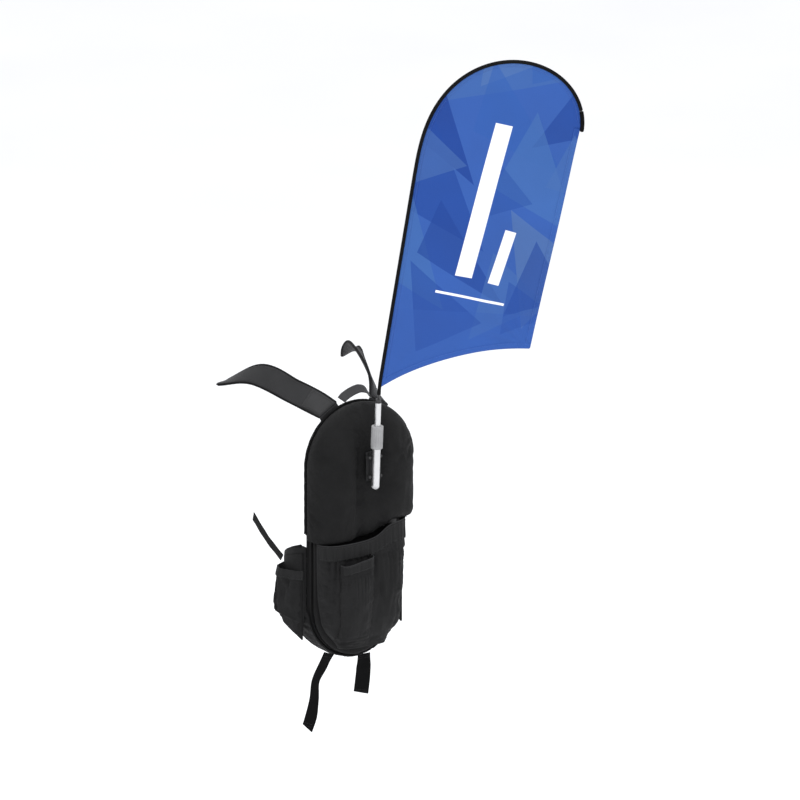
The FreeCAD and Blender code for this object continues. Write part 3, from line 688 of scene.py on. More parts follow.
def make_shell():
    turns = np.radians(np.linspace(0, 86, 40))
    rows = list(np.linspace(SHELL_LOW.z + 0.002, PANEL_ARC_TOP, 34)[:-1])
    rows += [PANEL_ARC_TOP + SHELL_R * math.sin(t) for t in turns]
    columns = np.sin(np.linspace(-math.pi / 2, math.pi / 2, 71))

    def place(z, a):
        half, depth = shell_row(z)
        depth = depth - 0.0025
        low = (z - SHELL_LOW.z) / 0.03
        tuck = 0.0 if low >= 1 else 0.010 * (1 - low) ** 2
        side_wall = 0.0075 * (1 - abs(a) ** 60)
        y = SHELL_BACK_Y - max(max(depth - tuck, 0.002) * float(lobe(a, 0.83)), side_wall)
        return ((half + 0.0012) * a, y, z + edge_shift(a) * (1 - t_of(z)) ** 2)

    obj = front_solid("shell_fabric_cover", rows, columns, place, SHELL_BACK_Y, SHELL_CLOTH)
    remesh(obj, 0.0042)
    soften(obj, 4)

    def hold(co):
        rim = np.clip((co[:, 1] - (SHELL_BACK_Y - 0.012)) / 0.008, 0, 1)
        groove = np.exp(-(co[:, 0] / 0.012) ** 2) * (co[:, 2] < 0.235)
        return np.maximum(rim, groove)

    simulate(obj, hold, pressure=3.0, growth=0.025, cap=0.005, bend=0.4)
    co = coords(obj)
    half = np.array([shell_row(z)[0] for z in co[:, 2]])
    front = co[:, 1] < SHELL_BACK_Y - 0.006
    share = np.abs(co[:, 0]) / np.maximum(half, 0.01)
    lines = creases(co, 5, 26, (-0.1, -0.08, 0.02), (0.1, -0.03, 0.2), 0.0022, 0.05, 0.006)
    lines += creases(co, 8, 16, (-0.1, -0.08, 0.0), (0.1, -0.03, 0.03), 0.002, 0.03, 0.004)
    valley = 0.011 * np.exp(-((co[:, 0] + 0.028) / 0.014) ** 2) * np.clip((0.225 - co[:, 2]) / 0.06, 0, 1)
    valley += 0.004 * np.exp(-((co[:, 0] - 0.022) / 0.012) ** 2) * np.clip((0.225 - co[:, 2]) / 0.06, 0, 1)
    crest = 0.004 * np.exp(-((co[:, 0] + 0.066) / 0.02) ** 2) * np.clip((0.22 - co[:, 2]) / 0.08, 0, 1)
    valley -= crest * np.clip((co[:, 2] - 0.03) / 0.03, 0, 1)
    co[:, 1] += np.where(front, lines * np.clip(1.4 - share, 0, 1) + valley, 0)
    set_coords(obj, co)
    subdivide(obj)
    slot_of(obj, "root", "shell_fabric", "outer_shell")


def rim_line(inset, y, lift=0.0):
    """Places up one side, over the top and down the other side of the upper body."""
    radius = SHELL_R + inset
    places = [(radius, y, z) for z in np.linspace(SHELL_LOW.z + lift, PANEL_ARC_TOP, 40)[:-1]]
    places += [(radius * math.cos(t), y, PANEL_ARC_TOP + radius * math.sin(t))
               for t in np.linspace(0, math.pi, 110)]
    places += [(-radius, y, z) for z in np.linspace(PANEL_ARC_TOP, SHELL_LOW.z + lift, 40)[1:]]
    return np.array(places, float)


def make_piping():
    low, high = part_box("shell_piping")
    middle = (low.y + high.y) / 2
    line = rim_line(0.0, middle, 0.0025)
    wobble = np.sin(np.arange(len(line)) * 0.9) * 0.00025
    line[:, 0] += wobble
    obj = cord_tube("shell_rim_piping", line, (high.y - low.y) / 2, BINDING, sides=16, ruck=0.04)
    slot_of(obj, "root", "binding", "shell_piping")
    seam = rim_line(-0.0045, SHELL_BACK_Y - 0.0075)
    normals = np.array([(p[0], -0.02, p[2] - min(max(p[2], 0), PANEL_ARC_TOP)) for p in seam])
    normals[:, 1] = -np.linalg.norm(normals[:, [0, 2]], axis=1) * 0.5
    stitches("shell_rim_stitches", [(seam, normals)], "root")


def make_back_panel():
    front, back = -0.0015, PANEL_BACK_Y + 0.001

    def place(x, z, t, face):
        core = spine_z(z)
        y = (front + back) / 2 + face * (front - back) / 2 * (1 - t ** 6) ** 0.5
        return x * t, y, core + (z - core) * t

    obj = dished_solid("back_panel_pad", stadium_loop(PANEL_R - 0.0015), 12, place, PAD_CLOTH, wall=False)
    remesh(obj, 0.005)
    soften(obj, 3)

    def hold(co):
        core = np.clip(co[:, 2], PANEL_ARC_LOW, PANEL_ARC_TOP)
        out = np.hypot(co[:, 0], co[:, 2] - core)
        return np.maximum(np.clip((out - (PANEL_R - 0.010)) / 0.006, 0, 1), co[:, 1] < -0.008)

    simulate(obj, hold, pressure=2.0, growth=0.02, cap=0.0015)
    co = coords(obj)
    core = np.clip(co[:, 2], PANEL_ARC_LOW, PANEL_ARC_TOP)
    out = np.hypot(co[:, 0], co[:, 2] - core)
    near = co[:, 1] > -0.008
    channel = np.exp(-((out - 0.060) / 0.004) ** 2) + np.exp(-((out - 0.018) / 0.004) ** 2)
    for z in (-0.16, -0.055, 0.045, 0.15):
        channel += np.exp(-((co[:, 2] - z) / 0.004) ** 2) * (out < 0.060) * (out > 0.018)
    co[:, 1] -= np.where(near, 0.0045 * np.clip(channel, 0, 1), 0)
    co[:, 1] = np.minimum(co[:, 1], -0.0001)
    set_coords(obj, co)
    subdivide(obj)
    slot_of(obj, "root", "padded_fabric", "back_panel")
    runs = []
    for radius in (0.060, 0.018):
        loop = [(x, -0.0052, z) for x, z in stadium_loop(radius)]
        loop.append(loop[0])
        runs.append((loop, [(0, 1, 0)] * len(loop)))
    stitches("back_panel_stitches", runs, "root")
    loop = [(x, -0.008, z) for x, z in stadium_loop(PANEL_R - 0.0005, 60, 40)]
    loop.append(loop[0])
    tape = cord_tube("back_panel_binding", loop, 0.0032, BINDING, sides=12, ruck=0.03)
    slot_of(tape, "root", "binding")


def outward(x, z, core):
    """Unit direction away from the core's centre, across and up."""
    size = math.hypot(x, z - core)
    return x / size, (z - core) / size


def ring_band(name, places, outs, y0, y1, thick, material, slot):
    """Thin band that stands on a line of places, from y0 to y1."""
    section = [(y0, 0.0), (y1, 0.0), (y1, thick), (y0, thick)]
    verts = [(x + ox * lift, y, z + oz * lift) for (x, z), (ox, oz) in zip(places, outs)
             for y, lift in section]
    obj = tape_object(name, verts, len(section), material, None, "root", slot)
    obj.data.polygons.foreach_set("use_smooth", [False] * len(obj.data.polygons))


def make_closing_bands():
    """Side band of the back panel, and the cloth behind its rim and the upper body's rim."""
    inner = SHEET_HALF + 0.0006
    loops = []
    for radius in (PANEL_R - 0.0014, inner):
        loop = stadium_loop(radius, 60, 40)
        loops.append(loop + loop[:1])
    outs = [outward(x, z, spine_z(z)) for x, z in loops[0]]
    ring_band("back_panel_side_band", loops[0], outs, -0.0172, -0.0012, 0.0013, PAD_CLOTH, "padded_fabric")
    ring_band("panel_rim_backing", loops[1], outs, -0.0171, -0.0163, PANEL_R - inner - 0.0012, LINING,
              "padded_fabric")
    places, outs = [], []
    for x, _, z in rim_line(0.0, 0.0):
        core = min(z, PANEL_ARC_TOP)
        out = outward(x, z, core)
        places.append((out[0] * inner, core + out[1] * inner))
        outs.append(out)
    ring_band("shell_rim_backing", places, outs, -0.0173, -0.0163, SHELL_R - inner + 0.0006, LINING,
              "shell_fabric")


def make_lower_body():
    radius = -LOWER_LOW.x - 0.001
    shift = radius - LOWER_HIGH.x
    angles = np.linspace(math.pi, 2 * math.pi, 60)
    outline = []
    for a in angles:
        x, z = radius * math.cos(a), PANEL_ARC_LOW + radius * math.sin(a)
        if x > -shift / 2:
            x = x - shift * min(1.0, (x + shift / 2) / 0.02)
        outline.append((x, z))
    right = LOWER_HIGH.x - 0.001
    outline += [(right, z) for z in np.linspace(PANEL_ARC_LOW, -0.006, 30)[1:]]
    outline += [(x, -0.002) for x in np.linspace(right - 0.004, -radius + 0.004, 40)]
    outline += [(-radius, z) for z in np.linspace(-0.006, PANEL_ARC_LOW, 30)[:-1]]
    back, front = LOWER_HIGH.y, LOWER_LOW.y

    def place(x, z, t, face):
        core = min(max(z, PANEL_ARC_LOW), -0.08)
        y = (back + front) / 2 + face * (back - front) / 2 * (0.35 + 0.65 * (1 - t ** 8) ** 0.5)
        return x * t, y, core + (z - core) * t

    obj = dished_solid("lower_body_pad", outline, 10, place, SHELL_CLOTH, wall=True)
    remesh(obj, 0.004)
    soften(obj, 2)
    co = coords(obj)
    co[:, 1] += creases(co, 31, 20, (-0.1, -0.03, -0.25), (0.1, -0.03, 0), 0.0012, 0.05, 0.005)
    set_coords(obj, co)
    slot_of(obj, "root", "padded_fabric", "lower_body")


# ---- pockets -------------------------------------------------------------------------------------
POUCH_ROWS = ((0.0, 0.5, 0.5), (0.2, 0.88, 0.9), (0.45, 0.98, 1.0), (0.75, 1.0, 1.0), (1.0, 1.0, 0.93))
MOUTH_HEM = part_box("main_pouch_hem")[1].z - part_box("main_pouch_hem")[0].z
POUCH_BACK_Y = LOWER_LOW.y
POUCH_HALF = POUCH_HIGH.x
POUCH_REACH = POUCH_BACK_Y - POUCH_LOW.y


def pouch_row(z):
    """Half width and depth of the main pocket at a height, smoothed over its rows."""
    t = (z - POUCH_LOW.z) / (POUCH_HIGH.z - POUCH_LOW.z)
    rises = np.clip(t + np.array([-0.06, -0.03, 0, 0.03, 0.06]), 0, 1)
    rise, wide, deep = zip(*POUCH_ROWS)
    return (POUCH_HALF * float(np.mean(np.interp(rises, rise, wide))),
            POUCH_REACH * float(np.mean(np.interp(rises, rise, deep))))


def mouth_sag(a):
    """How far the pocket's mouth hangs at each place across it."""
    low = -0.0105 + 0.0035 * np.clip((a + 0.8) / 0.8, 0, 1)
    return low + 0.027 / (1 + np.exp(-(a - 0.24) / 0.10))


POUCH_LEFT = -POUCH_LOW.x
POUCH_RIGHT = POUCH_HIGH.x


def pouch_place(z, a, swell=0.0):
    half, depth = pouch_row(z)
    half *= (POUCH_LEFT if a < 0 else POUCH_RIGHT) / POUCH_HALF
    t = (z - POUCH_LOW.z) / (POUCH_HIGH.z - POUCH_LOW.z)
    y = POUCH_BACK_Y - 0.0015 - (depth + swell - 0.0015) * float(lobe(a, 0.95))
    return ((half + swell) * a, y, z + float(mouth_sag(a)) * max(0.0, t) ** 2)


def wall_object(name, rows, columns, place, wall, material, pin, growth, pressure, cap, shape):
    """Sewn pocket wall: a sheet over rows and columns, simulated, then given its thickness."""
    verts = [place(z, a) for z in rows for a in columns]
    count = len(columns)
    obj = make_object(name, verts, grid_faces(len(rows), count), material)
    table = np.array([[pin(r / (len(rows) - 1), c / (count - 1)) for c in range(count)]
                      for r in range(len(rows))]).ravel()
    simulate(obj, lambda co: table, pressure=pressure, growth=growth, cap=cap, bend=0.3)
    co = shape(coords(obj))
    set_coords(obj, co)
    normals = np.zeros(len(co) * 3)
    obj.data.vertices.foreach_get("normal", normals)
    normals = normals.reshape(-1, 3)
    if normals[len(co) // 2, 1] > 0:
        normals = -normals
    inner = co - normals * wall
    total = np.vstack([co, inner])
    n = len(co)
    faces = grid_faces(len(rows), count)
    faces += [tuple(n + i for i in f[::-1]) for f in grid_faces(len(rows), count)]
    last = (len(rows) - 1) * count
    for c in range(count - 1):
        faces.append((last + c, last + c + 1, n + last + c + 1, n + last + c))
        faces.append((c + 1, c, n + c, n + c + 1))
    for r in range(len(rows) - 1):
        faces.append((r * count, (r + 1) * count, n + (r + 1) * count, n + r * count))
        faces.append(((r + 1) * count + count - 1, r * count + count - 1, n + r * count + count - 1,
                      n + (r + 1) * count + count - 1))
    old = obj.data
    done = make_object(name + "_wall", total, faces, material)
    obj.data = done.data
    bpy.data.objects.remove(done)
    bpy.data.meshes.remove(old)
    recalc(obj)
    return obj, co.reshape(len(rows), count, 3)


def pleats(seed, low, high, count, width):
    """Random pleat lines: places across, strengths and lengths."""
    rng = random.Random(seed)
    lines = []
    for k in range(count):
        at = low + (high - low) * (k + rng.uniform(0.25, 0.75)) / count
        lines.append((at, rng.uniform(0.5, 1.0), rng.uniform(0.6, 1.2), width * rng.uniform(0.7, 1.3),
                      rng.uniform(-0.08, 0.08)))
    return lines


def pleat_depth(lines, a, down):
    """Pleat offset across at a, with down the distance below the hem in metres."""
    total = np.zeros(np.shape(a))
    for at, strength, length, width, lean in lines:
        centre = at + lean * down / 0.1
        total += strength * np.exp(-((a - centre) / width) ** 2) * np.exp(-(down / (0.06 * length)) ** 1.5)
    return total


def bvh_of(obj):
    mesh = obj.data
    return BVHTree.FromPolygons([v.co for v in mesh.vertices], [tuple(p.vertices) for p in mesh.polygons])


def front_y(tree, x, z, default):
    """First surface met from behind the pack at x, z."""
    hit = tree.ray_cast(Vector((x, -0.5, z)), Vector((0, 1, 0)))
    return hit[0].y if hit[0] is not None and hit[0].y < default else default


def make_pouch():
    rows = list(np.linspace(POUCH_LOW.z + 0.001, POUCH_HIGH.z, 74))
    columns = np.sin(np.linspace(-math.pi / 2, math.pi / 2, 111))
    hem_share = MOUTH_HEM / (POUCH_HIGH.z - POUCH_LOW.z)

    def pin(r, c):
        edge = max(0.0, 1 - min(c, 1 - c) / 0.03)
        top = max(0.0, min(1.0, (r - (1 - hem_share * 1.3)) / 0.02))
        return min(1.0, max(edge, top, max(0.0, 1 - r / 0.04)))

    lines = pleats(3, -0.95, 0.95, 15, 0.028)
    side_lines = pleats(4, -0.92, -0.35, 7, 0.022)

    def shape(co):
        a = np.where(co[:, 0] < 0, co[:, 0] / POUCH_LEFT, co[:, 0] / POUCH_RIGHT)
        down = np.clip(POUCH_HIGH.z - MOUTH_HEM - 0.002 - co[:, 2], 0, 1)
        start = np.clip(down / 0.006, 0, 1)
        fold = pleat_depth(lines, a, down) * 0.0035 + pleat_depth(side_lines, a, down * 0.5) * 0.0035
        fold += creases(co, 17, 16, (-0.09, -0.08, -0.22), (0.09, -0.05, -0.06), 0.0035, 0.045, 0.006)
        out = unit_rows(np.c_[co[:, 0] * 0.6, np.full(len(co), -0.05), np.zeros(len(co))])
        return co - out * (fold * start)[:, None]

    obj, grid = wall_object("main_pouch_wall", rows, columns, lambda z, a: pouch_place(z, a, -0.0012),
                            0.0018, POUCH_CLOTH, pin=pin, growth=0.04, pressure=2.5, cap=0.006,
                            shape=shape)
    slot_of(obj, "root", "pouch_fabric", "main_pouch")
    tree = bvh_of(obj)
    make_patch("main_pouch_floor", [tuple(p) for p in grid[0, ::2]], POUCH_CLOTH)
    return tree


def make_patch(name, places, material):
    """Flat closing piece for a pocket's floor, from its front edge to the body."""
    verts, faces = [], []
    for x, y, z in places:
        for t in (0.0, 0.5, 1.0):
            verts.append((x, y + (POUCH_BACK_Y - 0.001 - y) * t, z + 0.004 * t))
    for c in range(len(places) - 1):
        for k in range(2):
            faces.append((c * 3 + k, c * 3 + k + 1, c * 3 + 4 + k, c * 3 + 3 + k))
    obj = make_object(name, verts, faces, material)
    thicken(obj, 0.0018)
    slot_of(obj, "root", "pouch_fabric")


def make_hem(name, place, top, height, columns, body, slot, node, gap=0.0003, thick=0.0016,
             pucker=0.0007, seed=1, span=0.012):
    """Folded tape round a mouth. place(z, a, swell) gives the pocket's surface."""
    rng = random.Random(seed)
    phases = [rng.uniform(0, 6.28) for _ in range(4)]
    section = [(0.0, 0.15), (0.0, 1.0), (0.12, 1.35), (0.5, 1.25), (0.88, 1.35), (1.0, 1.0), (1.0, 0.15),
               (0.5, 0.1)]
    verts, uvs = [], []
    for a, run in zip(columns, run_along([place(top, a, 0.0) for a in columns])):
        turn = run / span
        wave = math.sin(turn * 6.28 + phases[0]) + 0.6 * math.sin(turn * 10.1 + phases[1])
        for down, out in section:
            ripple_out = pucker * wave * (0.3 + 0.7 * down) * (out > 0.2)
            verts.append(place(top - height * down, a, gap + thick * out + ripple_out))
            uvs.append((down * height, run))
    tape_object(name, verts, len(section), HEM_TAPE, uvs, body, slot, node)
    # Rolled top edge of the hem tape; its lighter colour is a painted highlight where the fold faces the
    # light.
    edge = [tuple(place(top, a, gap + thick * 0.8)) for a in columns]
    lip = cord_tube(name + "_edge", edge, 0.0011, HIGHLIT_EDGE_TAPE, sides=8, ruck=0.05)
    slot_of(lip, body, slot)
    runs = []
    for down in (0.12, 0.88):
        seam = [place(top - height * down, a, gap + thick * 1.36) for a in columns]
        normals = [(Vector(place(top, a, 0.01)) - Vector(place(top, a, 0.0))) for a in columns]
        runs.append((seam, [tuple(v) for v in normals]))
    stitches(name + "_stitches", runs, body)


LEAF_CENTRE = (LEAFLET_LOW.x + LEAFLET_HIGH.x) / 2
LEAF_HALF = (LEAFLET_HIGH.x - LEAFLET_LOW.x) / 2
LEAF_REACH = POUCH_BACK_Y - LEAFLET_LOW.y


def leaflet_place(z, a, swell=0.0, tree=None):
    t = (z - LEAFLET_LOW.z) / (LEAFLET_HIGH.z - LEAFLET_LOW.z)
    wide = 0.9 + 0.1 * min(1.0, t * 2)
    deep = 0.75 + 0.25 * min(1.0, t * 2) ** 0.7
    half = LEAF_HALF * wide
    depth = LEAF_REACH * deep + swell
    edge = 1 - np.abs(a) ** 7
    y = POUCH_BACK_Y - depth * (0.80 + 0.20 * float(edge) ** 0.6) * (0.97 + 0.03 * float(lobe(a, 0.9)))
    x = LEAF_CENTRE + half * a * (1 + swell * 4)
    z += (0.5 + 0.5 * a) * 0.012 * t ** 2
    if tree is not None:
        skin = front_y(tree, x, z, POUCH_BACK_Y) - 0.0012 - swell
        y = min(y, skin)
        if abs(a) > 0.985:
            y = skin
    return (x, y, z)


def make_leaflet(tree):
    rows = list(np.linspace(LEAFLET_LOW.z + 0.001, LEAFLET_HIGH.z, 56))
    columns = np.sin(np.linspace(-math.pi / 2, math.pi / 2, 71))
    lines = pleats(9, -0.8, 0.8, 7, 0.04)

    def pin(r, c):
        edge = max(0.0, 1 - min(c, 1 - c) / 0.05)
        return min(1.0, max(edge, max(0.0, (r - 0.86) / 0.04), max(0.0, 1 - r / 0.05)))

    def shape(co):
        a = (co[:, 0] - LEAF_CENTRE) / LEAF_HALF
        down = np.clip(LEAFLET_HIGH.z - 0.020 - co[:, 2], 0, 1)
        fold = pleat_depth(lines, a, down) * 0.003 * np.clip(down / 0.005, 0, 1)
        fold += creases(co, 23, 10, (-0.08, -0.1, -0.18), (-0.01, -0.08, -0.09), 0.0028, 0.03, 0.005)
        co = co + np.array([0, 1, 0]) * (fold * np.clip(1.1 - np.abs(a), 0, 1))[:, None]
        for i in range(len(co)):
            co[i, 1] = min(co[i, 1], front_y(tree, co[i, 0], co[i, 2], 0) - 0.001)
        return co

    obj, grid = wall_object("leaflet_pocket_wall", rows, columns,
                            lambda z, a: leaflet_place(z, a, -0.001, tree), 0.0016, POUCH_CLOTH,
                            pin=pin, growth=0.03, pressure=2.5, cap=0.004, shape=shape)
    slot_of(obj, "root", "pouch_fabric", "leaflet_pocket")
    make_hem("leaflet_hem_tape", lambda z, a, swell: leaflet_place(z, a, swell, tree),
             LEAFLET_HIGH.z, 0.018, columns[2:-2], "root", "binding", "leaflet_pocket_hem", seed=5,
             pucker=0.0006, span=0.016)
    runs = []
    for c in (2, -3):
        seam = grid[:-12, c] + np.array([0, -0.0003, 0])
        side = np.array([[0.0, -1.0, 0.0]] * len(seam))
        runs.append((seam, side))
    stitches("leaflet_side_stitches", runs, "root")
    low = grid[2] + np.array([0, -0.0003, 0])
    stitches("leaflet_floor_stitches", [(low, [[0, -1, 0]] * len(low))], "root")


# ---- hip rim and hip pouches ---------------------------------------------------------------------
WING_T = 0.008
SIDE_CURVE = ((-0.010, 0.0), (0.018, 0.005), (0.070, -0.003))


def side_bow(y):
    """How far the hip wing bows from the panel's edge at y."""
    ys = [p[0] for p in SIDE_CURVE]
    fit = np.polyfit(ys, [p[1] for p in SIDE_CURVE], 2)
    return float(np.polyval(fit, min(max(y, ys[0]), ys[-1])))


def rim_share(z):
    """0 on the wings, growing to 1 under the panel's bottom."""
    low_z = PANEL_ARC_LOW - PANEL_R - 0.0005 - WING_T
    return min(max((PANEL_ARC_LOW - z) / (PANEL_ARC_LOW - low_z), 0), 1)


def rim_front(z):
    """Front edge of the hip rim at a height."""
    share = rim_share(z)
    if share < 0.12:
        front = WING_HIGH.y - 0.001 - 0.004 * (share / 0.12) - 0.006 * share
    else:
        front = 0.066 + (0.012 - 0.066) * share
    climb = max(0.0, (z - (WING_HIGH.z - WING_RISE)) / WING_RISE)
    return WING_LOW.y + 0.012 + (front - WING_LOW.y - 0.012) * (1 - climb ** 1.15) ** 0.9


def make_hip_rim():
    """Padded rim: down one hip wing, under the panel's round bottom and up the other wing."""
    top = WING_HIGH.z
    inner = PANEL_R + 0.0005
    path = [(inner, z) for z in np.linspace(top - 0.001, PANEL_ARC_LOW, 26)[:-1]]
    turns = np.linspace(0, math.pi, 64)
    path += [(inner * math.cos(t), PANEL_ARC_LOW - inner * math.sin(t)) for t in turns]
    path += [(-inner, z) for z in np.linspace(PANEL_ARC_LOW, top - 0.001, 26)[1:]]
    cols = 22
    verts = []
    for x, z in path:
        core = max(z, PANEL_ARC_LOW)
        out = Vector((x, 0, z - core)).normalized()
        drop, front = rim_share(z), rim_front(z)
        back = -0.0095 - 0.006 * min(1.0, drop * 6)
        near_end = min(1.0, (top - z) / 0.006) if z > -0.06 else 1.0
        for k in range(cols):
            angle = 2 * math.pi * k / cols
            c, s = math.cos(angle), math.sin(angle)
            y = (front + back) / 2 + (front - back) / 2 * math.copysign(abs(c) ** 0.28, c)
            lift = WING_T / 2 + (WING_T / 2 - 0.0004) * math.copysign(abs(s) ** 0.6, s) * (
                0.4 + 0.6 * max(near_end, 0) ** 0.5)
            bow = side_bow(y) * (1 - min(1.0, drop * 5))
            place = Vector((x, 0, z)) + out * (lift + bow)
            verts.append((place.x, y, place.z))
    obj = recalc(make_object("hip_rim_pad", verts, closed_faces(len(path), cols), PAD_CLOTH))
    remesh(obj, 0.0032)
    soften(obj, 2)

    def hold(co):
        core = np.maximum(co[:, 2], PANEL_ARC_LOW)
        out = np.hypot(co[:, 0], co[:, 2] - core)
        return (out < PANEL_R + 0.0025).astype(float)

    simulate(obj, hold, pressure=1.5, growth=0.02, cap=0.0015)
    co = coords(obj)
    core = np.maximum(co[:, 2], PANEL_ARC_LOW)
    turn = np.arctan2(co[:, 2] - core, np.abs(co[:, 0]))
    away = unit_rows(np.c_[co[:, 0], np.zeros(len(co)), co[:, 2] - core])
    out = np.hypot(co[:, 0], co[:, 2] - core)
    outer = np.clip((out - (PANEL_R + 0.003)) / 0.003, 0, 1)
    dents = np.zeros(len(co))
    for k in range(1, 9):
        dents += np.exp(-((turn + k * math.pi / 18) / 0.02) ** 2)
    dents += creases(co, 41, 26, (-0.12, -0.01, -0.27), (0.12, 0.05, -0.06), 0.8, 0.03, 0.004)
    co -= away * (0.0011 * dents * outer)[:, None]
    set_coords(obj, co)
    slot_of(obj, "root", "padded_fabric", "hip_wing_left", "hip_wing_right",
                      "lumbar_skirt")
    edge = []
    for x, z in path:
        core = max(z, PANEL_ARC_LOW)
        out = Vector((x, 0, z - core)).normalized()
        place = Vector((x, 0, z)) + out * (WING_T * 0.5)
        drop, front = rim_share(z), rim_front(z)
        bow = side_bow(front) * (1 - min(1.0, drop * 5))
        edge.append(place + out * bow + Vector((0, front, 0)))
    tape = cord_tube("hip_rim_binding", [tuple(p) for p in edge], 0.0030, BINDING, sides=12, ruck=0.04)
    slot_of(tape, "root", "binding")


def hip_outline(side):
    """Outer wall of a hip pouch seen from above: x beyond the panel's edge, and y."""
    wing = PANEL_R + WING_T
    points = [(wing + 0.0012, -0.006, 0), (wing + 0.0085, 0.004, 0), (wing + 0.0200, 0.022, 0),
              (HIP_HIGH.x - 0.0020, 0.044, 0), (HIP_HIGH.x - 0.0008, 0.060, 0),
              (HIP_HIGH.x - 0.010, 0.0695, 0), (wing + 0.006, 0.0700, 0), (wing - 0.0010, 0.0660, 0)]
    line = smooth_path(points, 61)
    return line[:, 0] * side, line[:, 1]


def make_hip_pouch(side, name, node, seed):
    xs, ys = hip_outline(side)
    count = len(xs)
    top, bottom = HIP_HIGH.z, -0.188
    rows = np.linspace(0, 1, 46)
    wing = (PANEL_R + WING_T) * side

    def inner_x(y):
        return wing + side * (side_bow(y) + 0.0008)

    def place_at(r, k, swell=0.0):
        y = ys[k]
        share = k / (count - 1)
        sag = 0.006 * math.sin(math.pi * min(1.0, share * 1.15)) ** 0.7 if 0 < share * 1.15 < 1 else 0.0
        low = bottom - 0.034 * (0.066 - y) / 0.078
        high = top - sag
        z = low + (high - low) * r
        puff = math.sin(math.pi * min(1, 0.16 + 0.72 * r)) ** 0.5
        puff *= 0.30 + 0.70 * min(1.0, r / 0.25) ** 0.6
        base = inner_x(y)
        x = base + (xs[k] - base) * puff * 0.97 + side * swell
        middle = 0.035
        y = middle + (y - middle) * (0.86 + 0.14 * min(1.0, r / 0.3)) + (0.004 * (r - 1) if y > 0.06 else 0)
        return (x, y, z)

    def place(r, a):
        k = int(round((a + 1) / 2 * (count - 1)))
        return place_at(rows[r], k, -0.001)

    def pin(r, c):
        edge = max(0.0, 1 - min(c, 1 - c) / 0.04)
        return min(1.0, max(edge, max(0.0, (r - 0.88) / 0.03), max(0.0, 1 - r / 0.04)))

    lines = pleats(seed, 0.05, 0.95, 8, 0.030)

    def shape(co):
        spots = co.reshape(len(rows), count, 3)
        share = np.tile(np.linspace(0, 1, count), (len(rows), 1))
        down = (1 - rows)[:, None] * 0.13 - 0.017
        down = np.repeat(np.clip(down, 0, 1), count, axis=1)
        fold = pleat_depth(lines, share, down) * 0.0038 * np.clip(down / 0.006, 0, 1)
        flat = spots.reshape(-1, 3)
        fold = fold.ravel() + creases(flat[:, [1, 0, 2]], seed + 3, 12, (-0.01, -0.2, -0.18),
                                      (0.07, 0.2, -0.09), 0.0035, 0.03, 0.005)
        flat[:, 0] -= side * fold * np.sin(math.pi * share.ravel()) ** 0.5
        keep = np.array([abs(inner_x(y)) for y in flat[:, 1]])
        flat[:, 0] = side * np.maximum(np.abs(flat[:, 0]), keep)
        return flat

    obj, grid = wall_object(name + "_wall", range(len(rows)), list(np.linspace(-1, 1, count)), place, 0.0016,
                            POUCH_CLOTH, pin=pin, growth=0.04, pressure=2.0, cap=0.005, shape=shape)
    slot_of(obj, "root", "pouch_fabric", node)
    lining = []
    for r in rows:
        for y in np.linspace(-0.004, 0.066, 16):
            low = bottom - 0.034 * (0.066 - y) / 0.078
            high = WING_HIGH.z - WING_RISE - 0.006 + 0.020 * (1 - (y + 0.004) / 0.07)
            lining.append((inner_x(y) + side * 0.0004, y, low + (high - low) * r))
    panel = make_object(name + "_lining", lining, grid_faces(len(rows), 16), LINING)
    thicken(panel, 0.0010)
    slot_of(panel, "root", "pouch_fabric")
    hip_hem(name, grid, side)


def hip_hem(name, grid, side):
    """Folded tape round the hip pouch's mouth, laid on the finished wall."""
    rows = grid[-1]
    below = grid[-8]
    count = len(rows)
    tang = unit_rows(np.gradient(rows, axis=0))
    down = unit_rows(below - rows)
    out = unit_rows(np.cross(tang, down))
    middle = count // 2
    if out[middle, 0] * side < 0:
        out = -out
    section = [(-0.0008, -0.0022), (-0.0014, 0.0002), (-0.0004, 0.0020), (0.007, 0.0021), (0.0135, 0.0020),
               (0.0145, 0.0008), (0.0135, 0.0002), (0.002, 0.0002), (0.001, -0.0020)]
    verts, uvs = [], []
    run = run_along(rows)
    for k in range(count):
        wave = 0.0005 * math.sin(run[k] * 640)
        for d, o in section:
            depth = max(d, 0) / 0.0145
            r = min(6, int(depth * 6))
            t = depth * 6 - r
            base = grid[-1 - r][k] * (1 - t) + grid[-2 - r][k] * t if d > 0 else rows[k] + down[k] * d
            verts.append(base + out[k] * (o + wave * (o > 0.001)))
            uvs.append((d, run[k]))
    tape_object(name + "_hem", verts, len(section), HEM_TAPE, uvs, "root", "binding")
    line = np.array([grid[-6][k] + out[k] * 0.0024 for k in range(count)])
    stitches(name + "_hem_stitches", [(line, out)], "root")


# ---- straps and webbing --------------------------------------------------------------------------
def in_box(node, *shares):
    """Places inside a CAD node's box, given as shares of its sides."""
    low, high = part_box(node)
    return [Vector((low.x + (high.x - low.x) * a, low.y + (high.y - low.y) * b,
                    low.z + (high.z - low.z) * c)) for a, b, c in shares]


def widths_of(rows):
    return [Vector(r[:3]).normalized() * r[3] for r in rows]


def strap_binding(name, line, across, half, up, body, sign):
    """Rounded edge tape along one side of a padded strap."""
    places = [line[i] + across[i] * (sign * (half[i] - 0.0012)) for i in range(1, len(line) - 1)]
    tape = cord_tube(name, places, 0.0026, BINDING, sides=10, ruck=0.03)
    slot_of(tape, body, "binding")
    seam = [line[i] + across[i] * (sign * (half[i] - 0.0062)) + up[i] * 0.0030
            for i in range(3, len(line) - 3)]
    stitches(name + "_stitches", [(seam, [up[i] for i in range(3, len(line) - 3)])], body)


